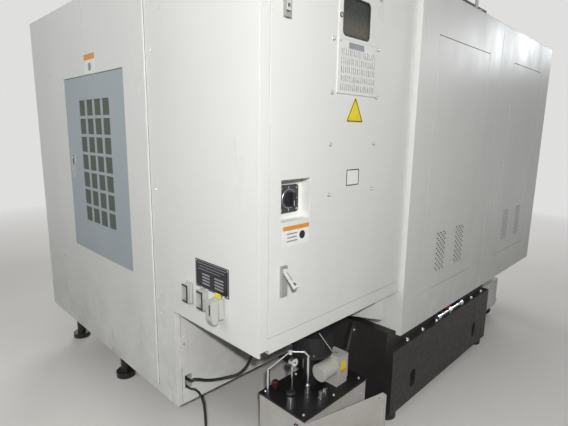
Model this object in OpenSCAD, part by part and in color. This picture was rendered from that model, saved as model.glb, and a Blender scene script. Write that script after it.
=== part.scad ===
// Vertical machining center with a full sheet-metal enclosure.
// The front faces -Y, the electrical cabinet stands at the rear right corner (+X, +Y), the floor is z = 0.
// The origin is the middle of the footprint on the floor.

/* [Enclosure] */
// Width of the enclosure along X
machine_w = 3205; // [3150:5:3260]
// Depth of the end box along Y
end_depth = 1760; // [1750:5:1800]
// Distance of the rear skin behind the end box
rear_out = 606; // [600:2:640]
// Height of the roof
roof_z = 2255; // [2240:5:2280]
// Height of the lower edge of the end skins
skin_z = 258; // [230:2:280]
// Height of the lower edge of the rear skin
rear_skin_z = 500; // [480:2:520]
// Thickness of the skins
sheet_t = 3; // [2:0.5:4]
// Return flange of every skin
flange = 28; // [20:1:34]
// Gap round every inset panel
seam = 3; // [2:0.5:5]

/* [End cover and vent hatch] */
// Width of the raised end cover
cover_w = 1220; // [1150:5:1280]
// Height of the end cover's lower edge
cover_z = 305; // [290:5:330]
// How far the end cover stands proud
cover_out = 8; // [6:1:12]
// Distance from the rear edge of the end box to the end cover
cover_back = 170; // [150:5:200]
// Width of the vent hatch
hatch_w = 788; // [720:4:800]
// Height of the vent hatch
hatch_h = 1004; // [960:4:1040]
// Height of the hatch's lower edge
hatch_z = 846; // [820:2:880]
// Distance from the rear edge of the end box to the hatch
hatch_back = 383; // [370:1:400]
// Depth of the folded hatch
hatch_d = 18; // [14:1:24]
// Width of one vent window
vent_w = 85; // [70:1:88]
// Height of one vent window
vent_h = 86; // [70:1:90]
// Pitch of the vent columns
vent_px = 106; // [100:1:112]
// Pitch of the vent rows
vent_pz = 101; // [98:1:106]
// Thickness of the filter mat
filter_t = 6; // [4:1:8]

/* [Service panels] */
// Width of the first service panel
service_w = 686; // [640:2:700]
// Width of the second service panel
service_w2 = 640; // [600:2:660]
// Height of both service panels
service_h = 1360; // [1300:5:1400]
// Height of their lower edge
service_z = 690; // [670:2:720]
// Length of one slot of the perforated fields
slot_long = 18; // [12:1:20]
// Height of one slot
slot_high = 8; // [6:0.5:10]
// Sideways step from column to column of slots
slot_step = 19.6; // [19.6:0.2:24]
// Vertical pitch of the slots in one column
slot_rise = 29.6; // [28:0.4:34]

/* [Electrical cabinet] */
// Width of the cabinet
cab_w = 985; // [960:1:1000]
// Depth of the cabinet
cab_d = 578; // [560:1:580]
// Height of its lower edge
cab_z = 745; // [735:1:760]
// Width of the frame round the cabinet door
cab_frame = 46; // [40:1:50]
// Depth of the door
door_d = 22; // [18:1:28]
// Side of the recess for the main switch
recess_w = 155; // [145:1:165]
// Depth of that recess
recess_d = 46; // [40:1:52]
// Height of the middle of the main switch
switch_z = 1317; // [1290:1:1340]
// Side of the switch plate
switch_w = 105; // [95:1:115]
// Width of the cooling unit's face
cooler_w = 267; // [255:1:280]
// Side of the fan window
fan_w = 190; // [180:1:200]
// Length of a swing handle's plate
handle_l = 118; // [110:1:130]
// Height of the middle of the lower swing handle
handle_z = 1018; // [1000:1:1040]
// Height of the middle of the upper swing handle
handle_z2 = 1998; // [1980:1:2010]
// How far the lower lever stands out at rest, in degrees
lever_out = 49; // [44:1:60]
// Pitch of the three connectors
conn_pitch = 110; // [100:1:115]
// Width of a connector housing
conn_w = 43; // [40:1:46]
// Height of a connector housing
conn_h = 87; // [80:1:92]
// Depth of a bulkhead connector housing
conn_d = 28; // [24:1:32]
// Depth of the mated hood
hood_d = 32; // [28:1:36]

/* [Base and column] */
// Width of the base under the column
base_w = 1365; // [1340:5:1400]
// Distance from the right end to the middle of the machine
mid_x = 1617; // [1600:1:1630]
// Width of the base under the saddle
bed_w = 1000; // [960:5:1040]
// Height of the rear ledge
ledge_z = 425; // [415:1:435]
// Height of the machined seats on the base
seat_z = 520; // [516:1:524]
// Gap under the base
pad_h = 45; // [40:1:55]
// Length of the lifting holes
lift_h = 110; // [100:1:120]
// Width of the lifting holes
lift_w = 60; // [50:1:70]
// Distance between the lifting holes
lift_pitch = 890; // [860:5:920]
// Width of the column
col_w = 700; // [680:5:740]
// Depth of the column
col_d = 720; // [700:5:740]
// Height of the column's top
col_top = 2330; // [2320:5:2360]

/* [Axes] */
// Width of a linear rail
rail_w = 45; // [40:1:50]
// Height of a linear rail
rail_h = 45; // [40:1:48]
// Diameter of the ball screws
screw_d = 40; // [36:1:44]
// Side of a servo motor
motor_w = 130; // [120:1:140]
// Length of the table
table_w = 1200; // [1150:5:1250]
// Depth of the table
table_d = 550; // [520:5:560]
// Thickness of the table
table_t = 110; // [100:1:115]
// Width of a T-slot
slot_w = 18; // [16:1:20]
// Pitch of the T-slots
slot_pitch = 100; // [90:1:105]
// Travel of the table either way
x_travel = 500; // [450:5:500]
// Travel of the saddle either way
y_travel = 240; // [220:5:240]
// Diameter of the spindle cartridge
cart_d = 190; // [180:1:200]
// Height of the spindle nose above the floor at rest
nose_z = 1290; // [1285:1:1310]

/* [Tool magazine] */
// Number of tools
tool_count = 16; // [12:1:18]
// Radius of the tool circle
tool_r = 330; // [325:1:340]
// Travel of the magazine
mag_travel = 420; // [400:5:420]

/* [Doors and pendant] */
// Width of the door opening
opening_w = 1280; // [1240:5:1300]
// Height of the opening's lower edge
opening_z = 700; // [690:5:720]
// Height of the opening
opening_h = 1440; // [1400:5:1450]
// Depth of a sliding door
slide_d = 30; // [26:1:36]
// Width of the pendant
pend_w = 480; // [460:2:500]
// Height of the pendant
pend_h = 680; // [650:2:700]
// Depth of the pendant
pend_d = 110; // [100:1:120]
// Gap between the front skin and the pendant
pend_gap = 60; // [50:1:70]
// Height of the emergency stop's head
stop_h = 30; // [26:1:34]

/* [Hydraulic unit] */
// Width of the tank
tank_w = 460; // [440:2:480]
// Depth of the tank
tank_d = 285; // [275:1:300]
// Height of the tank
tank_h = 345; // [335:1:350]
// Diameter of the pump motor
pump_d = 190; // [180:1:194]
// Width of the skirt panel
skirt_w = 458; // [440:2:470]
// Height of the skirt panel
skirt_h = 335; // [320:1:335]
// Angle of the skirt panel
skirt_a = 14; // [10:1:16]

/* [Coolant tank] */
// Width of the coolant tank
cool_w = 560; // [540:5:580]
// Length of the coolant tank
cool_l = 1650; // [1600:5:1680]
// Gap between the base and the coolant tank
cool_gap = 40; // [36:1:60]
// Height of the coolant tank's top
cool_top = 335; // [325:1:345]
// Diameter of the caster wheels
wheel_d = 75; // [70:1:80]

/* [Hidden] */
$fn = 64;

white = [0.86, 0.87, 0.85];
hatch_blue = [0.66, 0.71, 0.73];
cast = [0.17, 0.17, 0.18];
steel = [0.7, 0.71, 0.72];
black = [0.08, 0.08, 0.09];
rubber = [0.12, 0.12, 0.12];
mid_grey = [0.62, 0.63, 0.62];

conn_reach = conn_d + hood_d + 4;
ex = (machine_w + conn_reach) / 2 - conn_reach;
fx = ex - machine_w;
tank_y = 290;
skirt_y = tank_y + tank_d + 0.3;
skirt_f = 24;
rear_reach = skirt_y + skirt_w * sin(skirt_a) + skirt_f * cos(skirt_a);
front_reach = end_depth + pend_gap + pend_d + stop_h;
by = (front_reach - rear_reach) / 2;
fy = by - end_depth;
ry = by + rear_out;
cx = ex - mid_x;
base_side = base_w / 2 - mid_x;

// Anchors of the axes
sp_y = by - 850;
beam_z = seat_z + 180;
table_z = beam_z + 55;
table_top = table_z + table_t;
xs_z = beam_z - 16;
ys_z = seat_z - 20;
zs_y = by - 160;
rail_y = 330;
rail_zx = 210;
rail_x = 200;
col_fy = by - 200;
nut_bore = screw_d + 0.8;
journal_d = screw_d - 10;
journal_bore = journal_d + 0.8;
head_z = nose_z + 50;
cover_t = 3;
cover_top = seat_z + 120;
cover_y = sp_y - 330 - y_travel - 280;

// Hinge pins of the hatch and the cabinet door: diameter, distance in from the edge, depth behind the face
hinge_d = 4;
hinge_in = 4.5;
hinge_deep = 4.5;

// Step in the back edge of a leaf's hinge side, which swings clear of the rim behind it
hinge_step = 2;

// Anchors of the cabinet
cab_x = ex - cab_w;
wall_x = cab_x - 7;
cab_y = by + cab_d;
cab_top = roof_z - 5;
base_pads = [for (s = [-1, 1]) for (p = [[base_w / 2 - 64, ry - 64], [bed_w / 2 - 64, by - 900],
  [bed_w / 2 - 64, by - 1500]]) [cx + s * p[0], p[1]]];
door_x = [cab_x + 14, ex - cab_frame - seam];
door_z = [cab_z + 63, cab_top - 53];
handle_x = ex - 119;
switch_x = ex - 184;
cooler_x = [ex - 400 - cooler_w, ex - 400];
cooler_z = [1716, 2150];
fan_x = ex - 427 - fan_w / 2;
fan_z = 2032;

module slab(x, y, z) {
  translate([x[0], y[0], z[0]])
    cube([x[1] - x[0], y[1] - y[0], z[1] - z[0]]);
}

module rod_x(x, y, z, d) {
  translate([x[0], y, z])
    rotate([0, 90, 0])
      cylinder(d = d, h = x[1] - x[0]);
}

module rod_y(x, y, z, d) {
  translate([x, y[0], z])
    rotate([-90, 0, 0])
      cylinder(d = d, h = y[1] - y[0]);
}

module rod_z(x, y, z, d) {
  translate([x, y, z[0]])
    cylinder(d = d, h = z[1] - z[0]);
}

// The faces of the machine are drawn facing +Y and turned into place
module facing_right() {
  rotate([0, 0, -90])
    children();
}

module facing_left() {
  rotate([0, 0, 90])
    children();
}

module facing_front() {
  rotate([0, 0, 180])
    children();
}

// Sheet with its edges folded back, outer face at y = face
module pan(x, z, face, d) {
  difference() {
    slab(x, [face - d, face], z);
    slab([x[0] + sheet_t, x[1] - sheet_t], [face - d - 1, face - sheet_t], [z[0] + sheet_t, z[1] - sheet_t]);
  }
}

// Pan with an opening whose folded rim carries an inset panel
module framed_pan(x, z, face, d, hx, hz, inset_d) {
  difference() {
    union() {
      pan(x, z, face, d);
      slab([hx[0] - sheet_t, hx[1] + sheet_t], [face - inset_d - sheet_t, face],
        [hz[0] - sheet_t, hz[1] + sheet_t]);
    }
    slab(hx, [face - inset_d, face + 1], hz);
    slab([hx[0] + 12, hx[1] - 12], [face - inset_d - sheet_t - 1, face + 1], [hz[0] + 12, hz[1] - 12]);
  }
}

function inner(r, g) = [r[0] + g, r[1] - g];
function outer(r, g) = [r[0] - g, r[1] + g];

module base_casting() color(cast) {
  bx = [cx - base_w / 2, cx + base_w / 2];
  fx2 = [cx - bed_w / 2, cx + bed_w / 2];
  difference() {
    union() {
      slab(bx, [by - 260, ry], [pad_h, ledge_z]);
      slab(bx, [by - 260, ry - 46], [ledge_z, seat_z]);
      slab(fx2, [by - 1560, by - 260], [pad_h, seat_z - 50]);
      for (s = [-1, 1])
        slab([cx + s * rail_y - 45, cx + s * rail_y + 45], [by - 1500, by - 260], [seat_z - 50, seat_z]);
      slab([cx - 60, cx + 60], [by - 1500, by - 1450], [seat_z - 50, ys_z + 60]);
      slab([cx - 75, cx + 75], [by - 1560, by - 1500], [seat_z - 50, ys_z + 65]);
      slab([cx - 60, cx + 60], [by - 350, by - 300], [seat_z - 50, ys_z + 60]);
    }
    slab(inner(bx, 40), [by - 220, ry - 40], [pad_h - 1, ledge_z - 40]);
    slab([cx - bed_w / 2 + 40, cx - 20], [by - 1520, by - 300], [pad_h - 1, seat_z - 90]);
    slab([cx + 20, cx + bed_w / 2 - 40], [by - 1520, by - 300], [pad_h - 1, seat_z - 90]);
    rod_y(cx, [by - 1561, by - 1499], ys_z, nut_bore);
    rod_y(cx, [by - 1501, by - 1449], ys_z, journal_bore);
    rod_y(cx, [by - 351, by - 299], ys_z, journal_bore);
    for (s = [-1, 1])
      lifting_hole(cx + s * lift_pitch / 2);
  }
  for (p = base_pads)
    rod_z(p[0], p[1], [pad_h, pad_h + 70], 96);
}

module lifting_hole(x) {
  for (s = [-1, 1])
    rod_y(x, [ry - 60, ry + 1], 178 + s * (lift_h - lift_w) / 2, lift_w);
  slab([x - lift_w / 2, x + lift_w / 2], [ry - 60, ry + 1],
    [178 - (lift_h - lift_w) / 2, 178 + (lift_h - lift_w) / 2]);
}

module pad(x, y, h) {
  rod_z(x, y, [0, 34], 116);
  rod_z(x, y, [34, h], 58);
}

module levelling_pads() color(black) {
  for (p = base_pads)
    pad(p[0], p[1], pad_h);
  for (x = [ex - 125, fx + 125])
    for (y = [by - 847, by - 1596])
      pad(x, y, skin_z + 4);
}

module column_casting() color(cast) {
  difference() {
    union() {
      slab([cx - col_w / 2, cx + col_w / 2], [col_fy, col_fy + col_d], [seat_z, col_top]);
      slab([cx - col_w / 2 - 50, cx + col_w / 2 + 50], [col_fy - 30, col_fy + col_d + 30],
        [seat_z, seat_z + 40]);
    }
    slab([cx - col_w / 2 + 60, cx + col_w / 2 - 60], [col_fy + 190, col_fy + col_d - 50],
      [seat_z + 60, col_top - 40]);
    difference() {
      slab([cx - 110, cx + 110], [col_fy - 1, col_fy + 130], [seat_z + 380, col_top - 40]);
      slab([cx - 60, cx + 60], [col_fy, col_fy + 130], [seat_z + 380, seat_z + 440]);
    }
    rod_z(cx, zs_y, [seat_z + 379, seat_z + 441], journal_bore);
    rod_z(cx, zs_y, [col_top - 41, col_top + 1], nut_bore);
    for (z = [seat_z + 380, seat_z + 1080])
      slab([cx - col_w / 2 - 1, cx + col_w / 2 + 1], [col_fy + 260, col_fy + col_d - 170], [z, z + 420]);
  }
}

module guide_rails() color(steel) {
  for (s = [-1, 1]) {
    slab([cx + s * rail_y - rail_w / 2, cx + s * rail_y + rail_w / 2], [by - 1440, by - 260],
      [seat_z, seat_z + rail_h]);
    slab([cx + s * rail_zx - rail_w / 2, cx + s * rail_zx + rail_w / 2], [col_fy - rail_h, col_fy],
      [seat_z + 430, col_top - 80]);
  }
}

module servo(l) {
  slab([-motor_w / 2, motor_w / 2], [-motor_w / 2, motor_w / 2], [0, 14]);
  slab([-motor_w / 2 + 5, motor_w / 2 - 5], [-motor_w / 2 + 5, motor_w / 2 - 5], [14, l - 50]);
  rod_z(0, 0, [l - 50, l], motor_w - 16);
  slab([-22, 22], [-motor_w / 2 - 24, -motor_w / 2 + 5], [l - 100, l - 62]);
}

module axis_motors() color(black) {
  translate([cx, by - 1560, ys_z])
    rotate([90, 0, 0])
      servo(126);
  translate([cx, zs_y, col_top])
    servo(230);
}

// Ball screw along Z from zero, with a journal at each end
module ball_screw(l, j = 60) {
  rod_z(0, 0, [j, l - 60], screw_d);
  rod_z(0, 0, [0, j], journal_d);
  rod_z(0, 0, [l - 60, l], journal_d);
}

module ball_screw_y() color(steel) {
  translate([cx, by - 1540, ys_z])
    rotate([-90, 0, 0])
      ball_screw(1240, 96);
}

module ball_screw_z() color(steel) {
  translate([cx, zs_y, seat_z + 384])
    ball_screw(col_top - seat_z - 390);
}

module ball_screw_x() color(steel) {
  translate([cx - 870, sp_y, xs_z])
    rotate([0, 90, 0])
      ball_screw(1740);
}

// Carriage on a rail that runs along X at the origin
module carriage(l, top) {
  difference() {
    slab([-l / 2, l / 2], [-50, 50], [6, top]);
    slab([-l / 2 - 1, l / 2 + 1], [-rail_w / 2 - 0.5, rail_w / 2 + 0.5], [0, rail_h + 0.5]);
  }
}

module saddle() color(cast) {
  difference() {
    union() {
      slab([cx - 430, cx + 430], [sp_y - 330, sp_y + 330], [seat_z + 55, beam_z - 80]);
      slab([cx - 880, cx + 880], [sp_y - 250, sp_y + 250], [beam_z - 80, beam_z]);
      slab([cx - 50, cx + 50], [sp_y - 60, sp_y + 60], [ys_z - 26, seat_z + 56]);
      for (s = [-1, 1])
        for (y = [-265, 265])
          translate([cx + s * rail_y, sp_y + y, seat_z])
            rotate([0, 0, 90])
              carriage(130, 56);
    }
    rod_y(cx, [sp_y - 61, sp_y + 61], ys_z, nut_bore);
    slab([cx - 820, cx + 820], [sp_y - 60, sp_y + 60], [beam_z - 60, beam_z + 1]);
    rod_x([cx - 881, cx + 881], sp_y, xs_z, journal_bore);
  }
  for (s = [-1, 1])
    slab([cx - 880, cx + 880], [sp_y + s * rail_x - rail_w / 2, sp_y + s * rail_x + rail_w / 2],
      [beam_z, beam_z + rail_h]);
  translate([cx - 880, sp_y, xs_z])
    rotate([0, -90, 0])
      servo(200);
  for (s = [-1, 1])
    difference() {
      slab([cx + s * 850 - 30, cx + s * 850 + 30], [sp_y - 60, sp_y + 60], [beam_z, beam_z + 28]);
      rod_x([cx - 900, cx + 900], sp_y, xs_z, journal_bore);
    }
}

module work_table() color(steel) {
  difference() {
    union() {
      slab([cx - table_w / 2, cx + table_w / 2], [sp_y - table_d / 2, sp_y + table_d / 2],
        [table_z, table_top]);
      slab([cx - 50, cx + 50], [sp_y - 45, sp_y + 45], [xs_z - 24, table_z]);
      for (s = [-1, 1])
        for (x = [-165, 165])
          translate([cx + x, sp_y + s * rail_x, beam_z])
            carriage(130, 55);
    }
    rod_x([cx - 51, cx + 51], sp_y, xs_z, nut_bore);
    for (i = [-2 : 2])
      t_slot(sp_y + i * slot_pitch);
  }
}

module t_slot(y) {
  slab([cx - table_w, cx + table_w], [y - slot_w / 2, y + slot_w / 2], [table_top - 30, table_top + 1]);
  slab([cx - table_w, cx + table_w], [y - slot_w / 2 - 7, y + slot_w / 2 + 7],
    [table_top - 32, table_top - 18]);
}

// One U-shaped section of the telescopic way cover
module way_section(y, l, half, top, bottom = seat_z - 50) {
  difference() {
    slab([cx - half, cx + half], [y, y + l], [bottom, top]);
    slab([cx - half + cover_t, cx + half - cover_t], [y - 1, y + l + 1], [bottom - 1, top - cover_t]);
  }
}

module way_cover_middle() color(steel) {
  way_section((cover_y + sp_y - 330 - 278) / 2, 272, 424, cover_top - 6);
}

module way_cover_moving() color(steel) {
  y = sp_y - 330 - 278;
  way_section(y, 278, 430, cover_top, seat_z - 44);
  slab([cx - 420, cx + 420], [sp_y - 333, sp_y - 330], [seat_z + 60, cover_top - 1]);
}

module splash_sheets() color(white) {
  way_section(cover_y, 272, 418, cover_top - 12);
  for (s = [0, 1])
    translate([cx, 0, 0])
      mirror([s, 0, 0])
        splash_side();
}

module splash_side() {
  translate([0, by - 300, 0])
    rotate([90, 0, 0])
      linear_extrude(height = end_depth - 410)
        polygon([[bed_w / 2 - 20, seat_z - 50], [bed_w / 2, seat_z - 50], [1180, 610], [1180, 2080],
          [1177, 2080], [1177, 613], [bed_w / 2, seat_z - 47], [bed_w / 2 - 20, seat_z - 47]]);
}

module spindle_head() color(white) {
  difference() {
    union() {
      slab([cx - 190, cx + 190], [sp_y - 140, col_fy - 100], [head_z, head_z + 700]);
      slab([cx - 260, cx + 260], [col_fy - 100, col_fy - 56], [head_z + 40, head_z + 660]);
      slab([cx - 50, cx + 50], [col_fy - 57, col_fy + 80], [head_z + 260, head_z + 360]);
      rod_z(cx, sp_y, [nose_z, head_z], cart_d);
      for (s = [-1, 1])
        for (z = [120, 580])
          translate([cx + s * rail_zx, col_fy, head_z + z])
            rotate([90, 0, 0])
              rotate([0, 0, 90])
                carriage(130, 57);
      slab([cx - 130, cx + 130], [sp_y - 130, sp_y + 130], [head_z + 700, head_z + 760]);
      slab([cx - 120, cx + 120], [sp_y - 120, sp_y + 120], [head_z + 760, head_z + 1080]);
    }
    rod_z(cx, sp_y, [nose_z - 1, head_z + 640], 76);
    slab([cx - 150, cx + 150], [sp_y + 140, col_fy - 130], [head_z + 60, head_z + 660]);
    rod_z(cx, zs_y, [head_z + 259, head_z + 361], nut_bore);
  }
}

module spindle_shaft() color(steel) {
  difference() {
    union() {
      rod_z(cx, sp_y, [nose_z - 2, head_z + 630], 70);
      rod_z(cx, sp_y, [nose_z - 12, nose_z - 0.4], 88);
    }
    translate([cx, sp_y, nose_z - 12.5])
      cylinder(d1 = 45, d2 = 25, h = 68);
    rod_z(cx, sp_y, [nose_z, head_z + 631], 20);
  }
}

module magazine_rail() color(cast) {
  my = sp_y + 420;
  slab([cx - 1130, cx - col_w / 2], [my, my + 80], [1480, 1640]);
  slab([cx - col_w / 2 - 70, cx - col_w / 2], [my, col_fy + 120], [1480, 1640]);
  slab([cx - 1120, cx - col_w / 2 - 10], [my - 18, my], [1550, 1570]);
}

module magazine_carriage() color(cast) {
  my = sp_y + 420;
  mx = cx - tool_r - mag_travel;
  difference() {
    union() {
      slab([mx - 100, mx + 100], [my - 60, my - 4], [1480, 1600]);
      slab([mx - 80, mx + 80], [sp_y - 100, my - 59], [1480, 1520]);
    }
    slab([mx - 101, mx + 101], [my - 18.5, my], [1549.5, 1570.5]);
  }
  rod_z(mx, sp_y, [1400, 1481], 230);
  rod_z(mx, sp_y, [1180, 1401], 40);
  rod_z(mx, sp_y, [1170, 1186], 70);
}

module tool_disc() color(steel) {
  mx = cx - tool_r - mag_travel;
  difference() {
    union() {
      rod_z(mx, sp_y, [1192.5, 1207.5], 2 * tool_r + 40);
      rod_z(mx, sp_y, [1186.5, 1399.5], 120);
    }
    rod_z(mx, sp_y, [1186, 1400], 40.8);
    for (i = [0 : tool_count - 1])
      translate([mx, sp_y, 0])
        rotate([0, 0, i * 360 / tool_count]) {
          rod_z(tool_r, 0, [1190, 1210], 53.6);
          slab([tool_r, tool_r + 40], [-26.8, 26.8], [1190, 1210]);
        }
  }
}

module tool_holders() color(steel) {
  mx = cx - tool_r - mag_travel;
  for (i = [0 : tool_count - 1])
    translate([mx, sp_y, 0])
      rotate([0, 0, i * 360 / tool_count])
        translate([tool_r, 0, 1150])
          rotate_extrude($fn = 32)
            polygon([[0, 0], [20, 0], [20, 34], [31.5, 34], [31.5, 42], [26.5, 42], [26.5, 58], [31.5, 58],
              [31.5, 66], [22, 66], [12, 114], [6, 114], [6, 120], [0, 120]]);
}

module enclosure_frame() color(white) {
  t = 60;
  w = 0.5;
  top = [roof_z - 105, roof_z - 45];
  low = [skin_z + 4, skin_z + 64];
  post = [low[1] + w, top[0] - w];
  for (s = [0, 1]) {
    x = s == 0 ? [ex - 155, ex - 95] : [fx + 95, fx + 155];
    slab(x, [fy + 3.3, by - 3.3], low);
    slab(x, [fy + 3.3, by - 3.3], top);
    for (y = [by - 1626, by - 877, by - 80])
      slab(x, [y, y + t], post);
  }
  slab([fx + 155 + w, ex - 155 - w], [by - 1626, by - 1566], top);
  slab([cx + col_w / 2 + 60, ex - 155 - w], [by - 89, by - 29], top);
  slab([fx + 155 + w, cx - col_w / 2 - 60], [by - 89, by - 29], top);
  slab([fx + 95, fx + 155], [by - 3 + w, ry - 28], top);
  slab([fx + 155 + w, ex - 1120 - w], [ry - 84, ry - 28], top);
  slab([ex - 1120, ex - 1060], [by - 29 + w, ry - 28], top);
  slab([ex - 1120, ex - 1060], [ry - 84, ry - 28], [seat_z, post[1]]);
  slab([fx + 95, fx + 155], [ry - 84, ry - 28], [rear_skin_z + 5, post[1]]);
  slab([fx + 95, fx + 155], [by - 19, ry - 84 - w], [rear_skin_z + 5, rear_skin_z + 65]);
  slab([cx - 1300, cx + 1300], [fy + 48, fy + 60], [2100, 2120]);
  for (x = [cx - 1280, cx - 660, cx + 640, cx + 1260]) {
    slab([x, x + 20], [fy + 60 + w, fy + 90], [2100, 2180]);
    slab([x, x + 20], [fy + 90 + w, by - 1626 - w], [2160, 2180]);
  }
  for (y = [by - 1640, by - 150])
    for (z = [low[0] + 8, roof_z - 56]) {
      slab([ex - 95, ex - sheet_t], [y, y + 40], [z, z + 10]);
      slab([fx + sheet_t, fx + 95], [y, y + 40], [z, z + 10]);
    }
  cabinet_bracket(ex - 915);
}

// Folded bracket that carries the cabinet from the rear wall
module cabinet_bracket(x) {
  difference() {
    translate([x, 0, 0])
      rotate([90, 0, 90])
        linear_extrude(height = 50)
          polygon([[by, 500], [by + 560, 618], [by + 560, cab_z], [by, cab_z]]);
    translate([x + 3, 0, 0])
      rotate([90, 0, 90])
        linear_extrude(height = 44)
          polygon([[by - 1, 503], [by + 557, 621], [by + 557, cab_z - 3], [by - 1, cab_z - 3]]);
  }
}

module right_end_skin() color(white) {
  facing_right()
    difference() {
      pan([-by, -fy], [skin_z, roof_z], ex, flange);
      slab([-by + cover_back + 25, -by + cover_back + cover_w - 25], [ex - 50, ex + 1],
        [cover_z + 25, roof_z - 60]);
    }
}

// The hatch opening in the coordinates of a face that is drawn facing +Y
hatch_x = [-by + hatch_back, -by + hatch_back + hatch_w];
hatch_zz = [hatch_z, hatch_z + hatch_h];

// Short pins on a vertical hinge axis, one above and one below a leaf that spans z
module hinge_pins(x, y, z, d, gap) {
  rod_z(x, y, [z[1] - 9, z[1] + gap + 1], d);
  rod_z(x, y, [z[0] - gap - 1, z[0] + 9], d);
}

// Bores for those pins through the leaf's upper and lower edges
module hinge_bores(x, y, z, d) {
  rod_z(x, y, [z[1] - 10, z[1] + 1], d);
  rod_z(x, y, [z[0] - 1, z[0] + 10], d);
}

module right_end_cover() color(white) {
  facing_right() {
    framed_pan([-by + cover_back, -by + cover_back + cover_w], [cover_z, roof_z - 6], ex + cover_out,
      cover_out, outer(hatch_x, seam), outer(hatch_zz, seam), hatch_d + 2);
    hinge_pins(hatch_x[0] + hinge_in, ex + cover_out - 2 - hinge_deep, hatch_zz, hinge_d, seam);
  }
}

latch_x = -by + 1105;
latch_z = 1344;

module vent_hatch() color(hatch_blue) {
  face = ex + cover_out - 2;
  facing_right()
    difference() {
      union() {
        pan(hatch_x, hatch_zz, face, hatch_d);
        slab([latch_x - 26, latch_x + 26], [face - 16, face], [latch_z - 67, latch_z + 67]);
      }
      slab([latch_x - 23.5, latch_x + 23.5], [face - 13, face + 1], [latch_z - 64, latch_z + 64]);
      hinge_bores(hatch_x[0] + hinge_in, face - hinge_deep, hatch_zz, hinge_d + 0.8);
      slab([hatch_x[0] - 1, hatch_x[0] + 2 * hinge_in], [face - hatch_d - 1, face - hatch_d + hinge_step],
        outer(hatch_zz, 1));
      rod_x([latch_x - 25.5, latch_x + 25.5], face - 5, latch_z + 56, 5.6);
      for (i = [0 : 3])
        for (j = [0 : 6])
          slab([-by + 556 + i * vent_px, -by + 556 + i * vent_px + vent_w], [face - 5, face + 1],
            [hatch_z + 185 + j * vent_pz, hatch_z + 185 + j * vent_pz + vent_h]);
    }
}

module hatch_filter() color(rubber) {
  face = ex + cover_out - 2 - sheet_t;
  facing_right()
    slab([-by + 540, -by + 978], [face - filter_t, face], [hatch_z + 170, hatch_z + 892]);
}

module hatch_latch() color(mid_grey) {
  face = ex + cover_out - 2;
  facing_right()
    difference() {
      union() {
        slab([latch_x - 22.5, latch_x + 22.5], [face - 3, face + 3], [latch_z - 63, latch_z + 59]);
        slab([latch_x - 22.5, latch_x + 22.5], [face - 8, face - 3], [latch_z + 50, latch_z + 59]);
        rod_x([latch_x - 25, latch_x + 25], face - 5, latch_z + 56, 5);
      }
      slab([latch_x - 14, latch_x + 14], [face + 1, face + 4], [latch_z - 55, latch_z - 20]);
    }
}

module far_end_skin() color(white) {
  px = [-fx - sheet_t, -fx];
  hx = [by - cover_back - cover_w, by - cover_back];
  facing_left() {
    framed_pan([fy, by], [skin_z, roof_z], -fx, flange, hx, [cover_z, roof_z - 60], 18);
    pan(inner(hx, seam), inner([cover_z, roof_z - 60], seam), -fx, 18);
  }
}

service_x = [ex - 1181 - service_w, ex - 1181];
service_x2 = [ex - 2320 - service_w2, ex - 2320];
service_zz = [service_z, service_z + service_h];
split_x = service_x[0] - 203;

module rear_panels() color(white) {
  framed_pan([split_x + 2, wall_x], [rear_skin_z, roof_z], ry, flange, outer(service_x, seam),
    outer(service_zz, seam), 15);
  framed_pan([fx, split_x - 2], [rear_skin_z, roof_z], ry, flange, outer(service_x2, seam),
    outer(service_zz, seam), 15);
  slab([wall_x - 3, wall_x], [by + 0.3, ry - flange + 1], [max(rear_skin_z, seat_z) + 0.3, roof_z]);
  slab([fx, fx + 3], [by + 0.3, ry - flange + 1], [rear_skin_z, roof_z]);
}

module service_panels() color(white) {
  difference() {
    pan(service_x, service_zz, ry, 15);
    perforation(service_x[0] + 167, service_z + 95);
    perforation(service_x[0] + 421, service_z + 95);
  }
  difference() {
    pan(service_x2, service_zz, ry, 15);
    perforation(service_x2[0] + 133, service_z + 95);
    perforation(service_x2[0] + 418, service_z + 95);
  }
}

// Field of six columns of short slots in thin sheet, every second column raised by half a pitch
module perforation(x, z) {
  w = slot_long / 2;
  h = slot_high / 2;
  slab([x - 18, x + 5 * slot_step + 18], [ry - sheet_t - 1, ry - 1.2], [z - 14, z + 7.5 * slot_rise + 14]);
  for (i = [0 : 5])
    for (j = [0 : 7])
      translate([x + i * slot_step, ry + 1, z + (j + (i % 2) / 2) * slot_rise])
        rotate([90, 0, 0])
          linear_extrude(5)
            polygon([[-w, 2 - h], [2 - w, -h], [w - 2, -h], [w, 2 - h], [w, h - 2], [w - 2, h], [2 - w, h],
              [-w, h - 2]]);
}

module end_rear_wall() color(white) {
  difference() {
    pan([wall_x - 3, ex - 31], [skin_z, roof_z], by, flange);
    slab([wall_x - 4, cx + base_w / 2 + 2], [by - flange - 1, by + 1], [skin_z - 1, seat_z + 0.3]);
    slab([ex - 82, ex - 44], [by - 5, by + 1], [332, 402]);
  }
  slab([ex - 60, ex - 20], [by, by + 3], [448, 608]);
}

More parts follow.
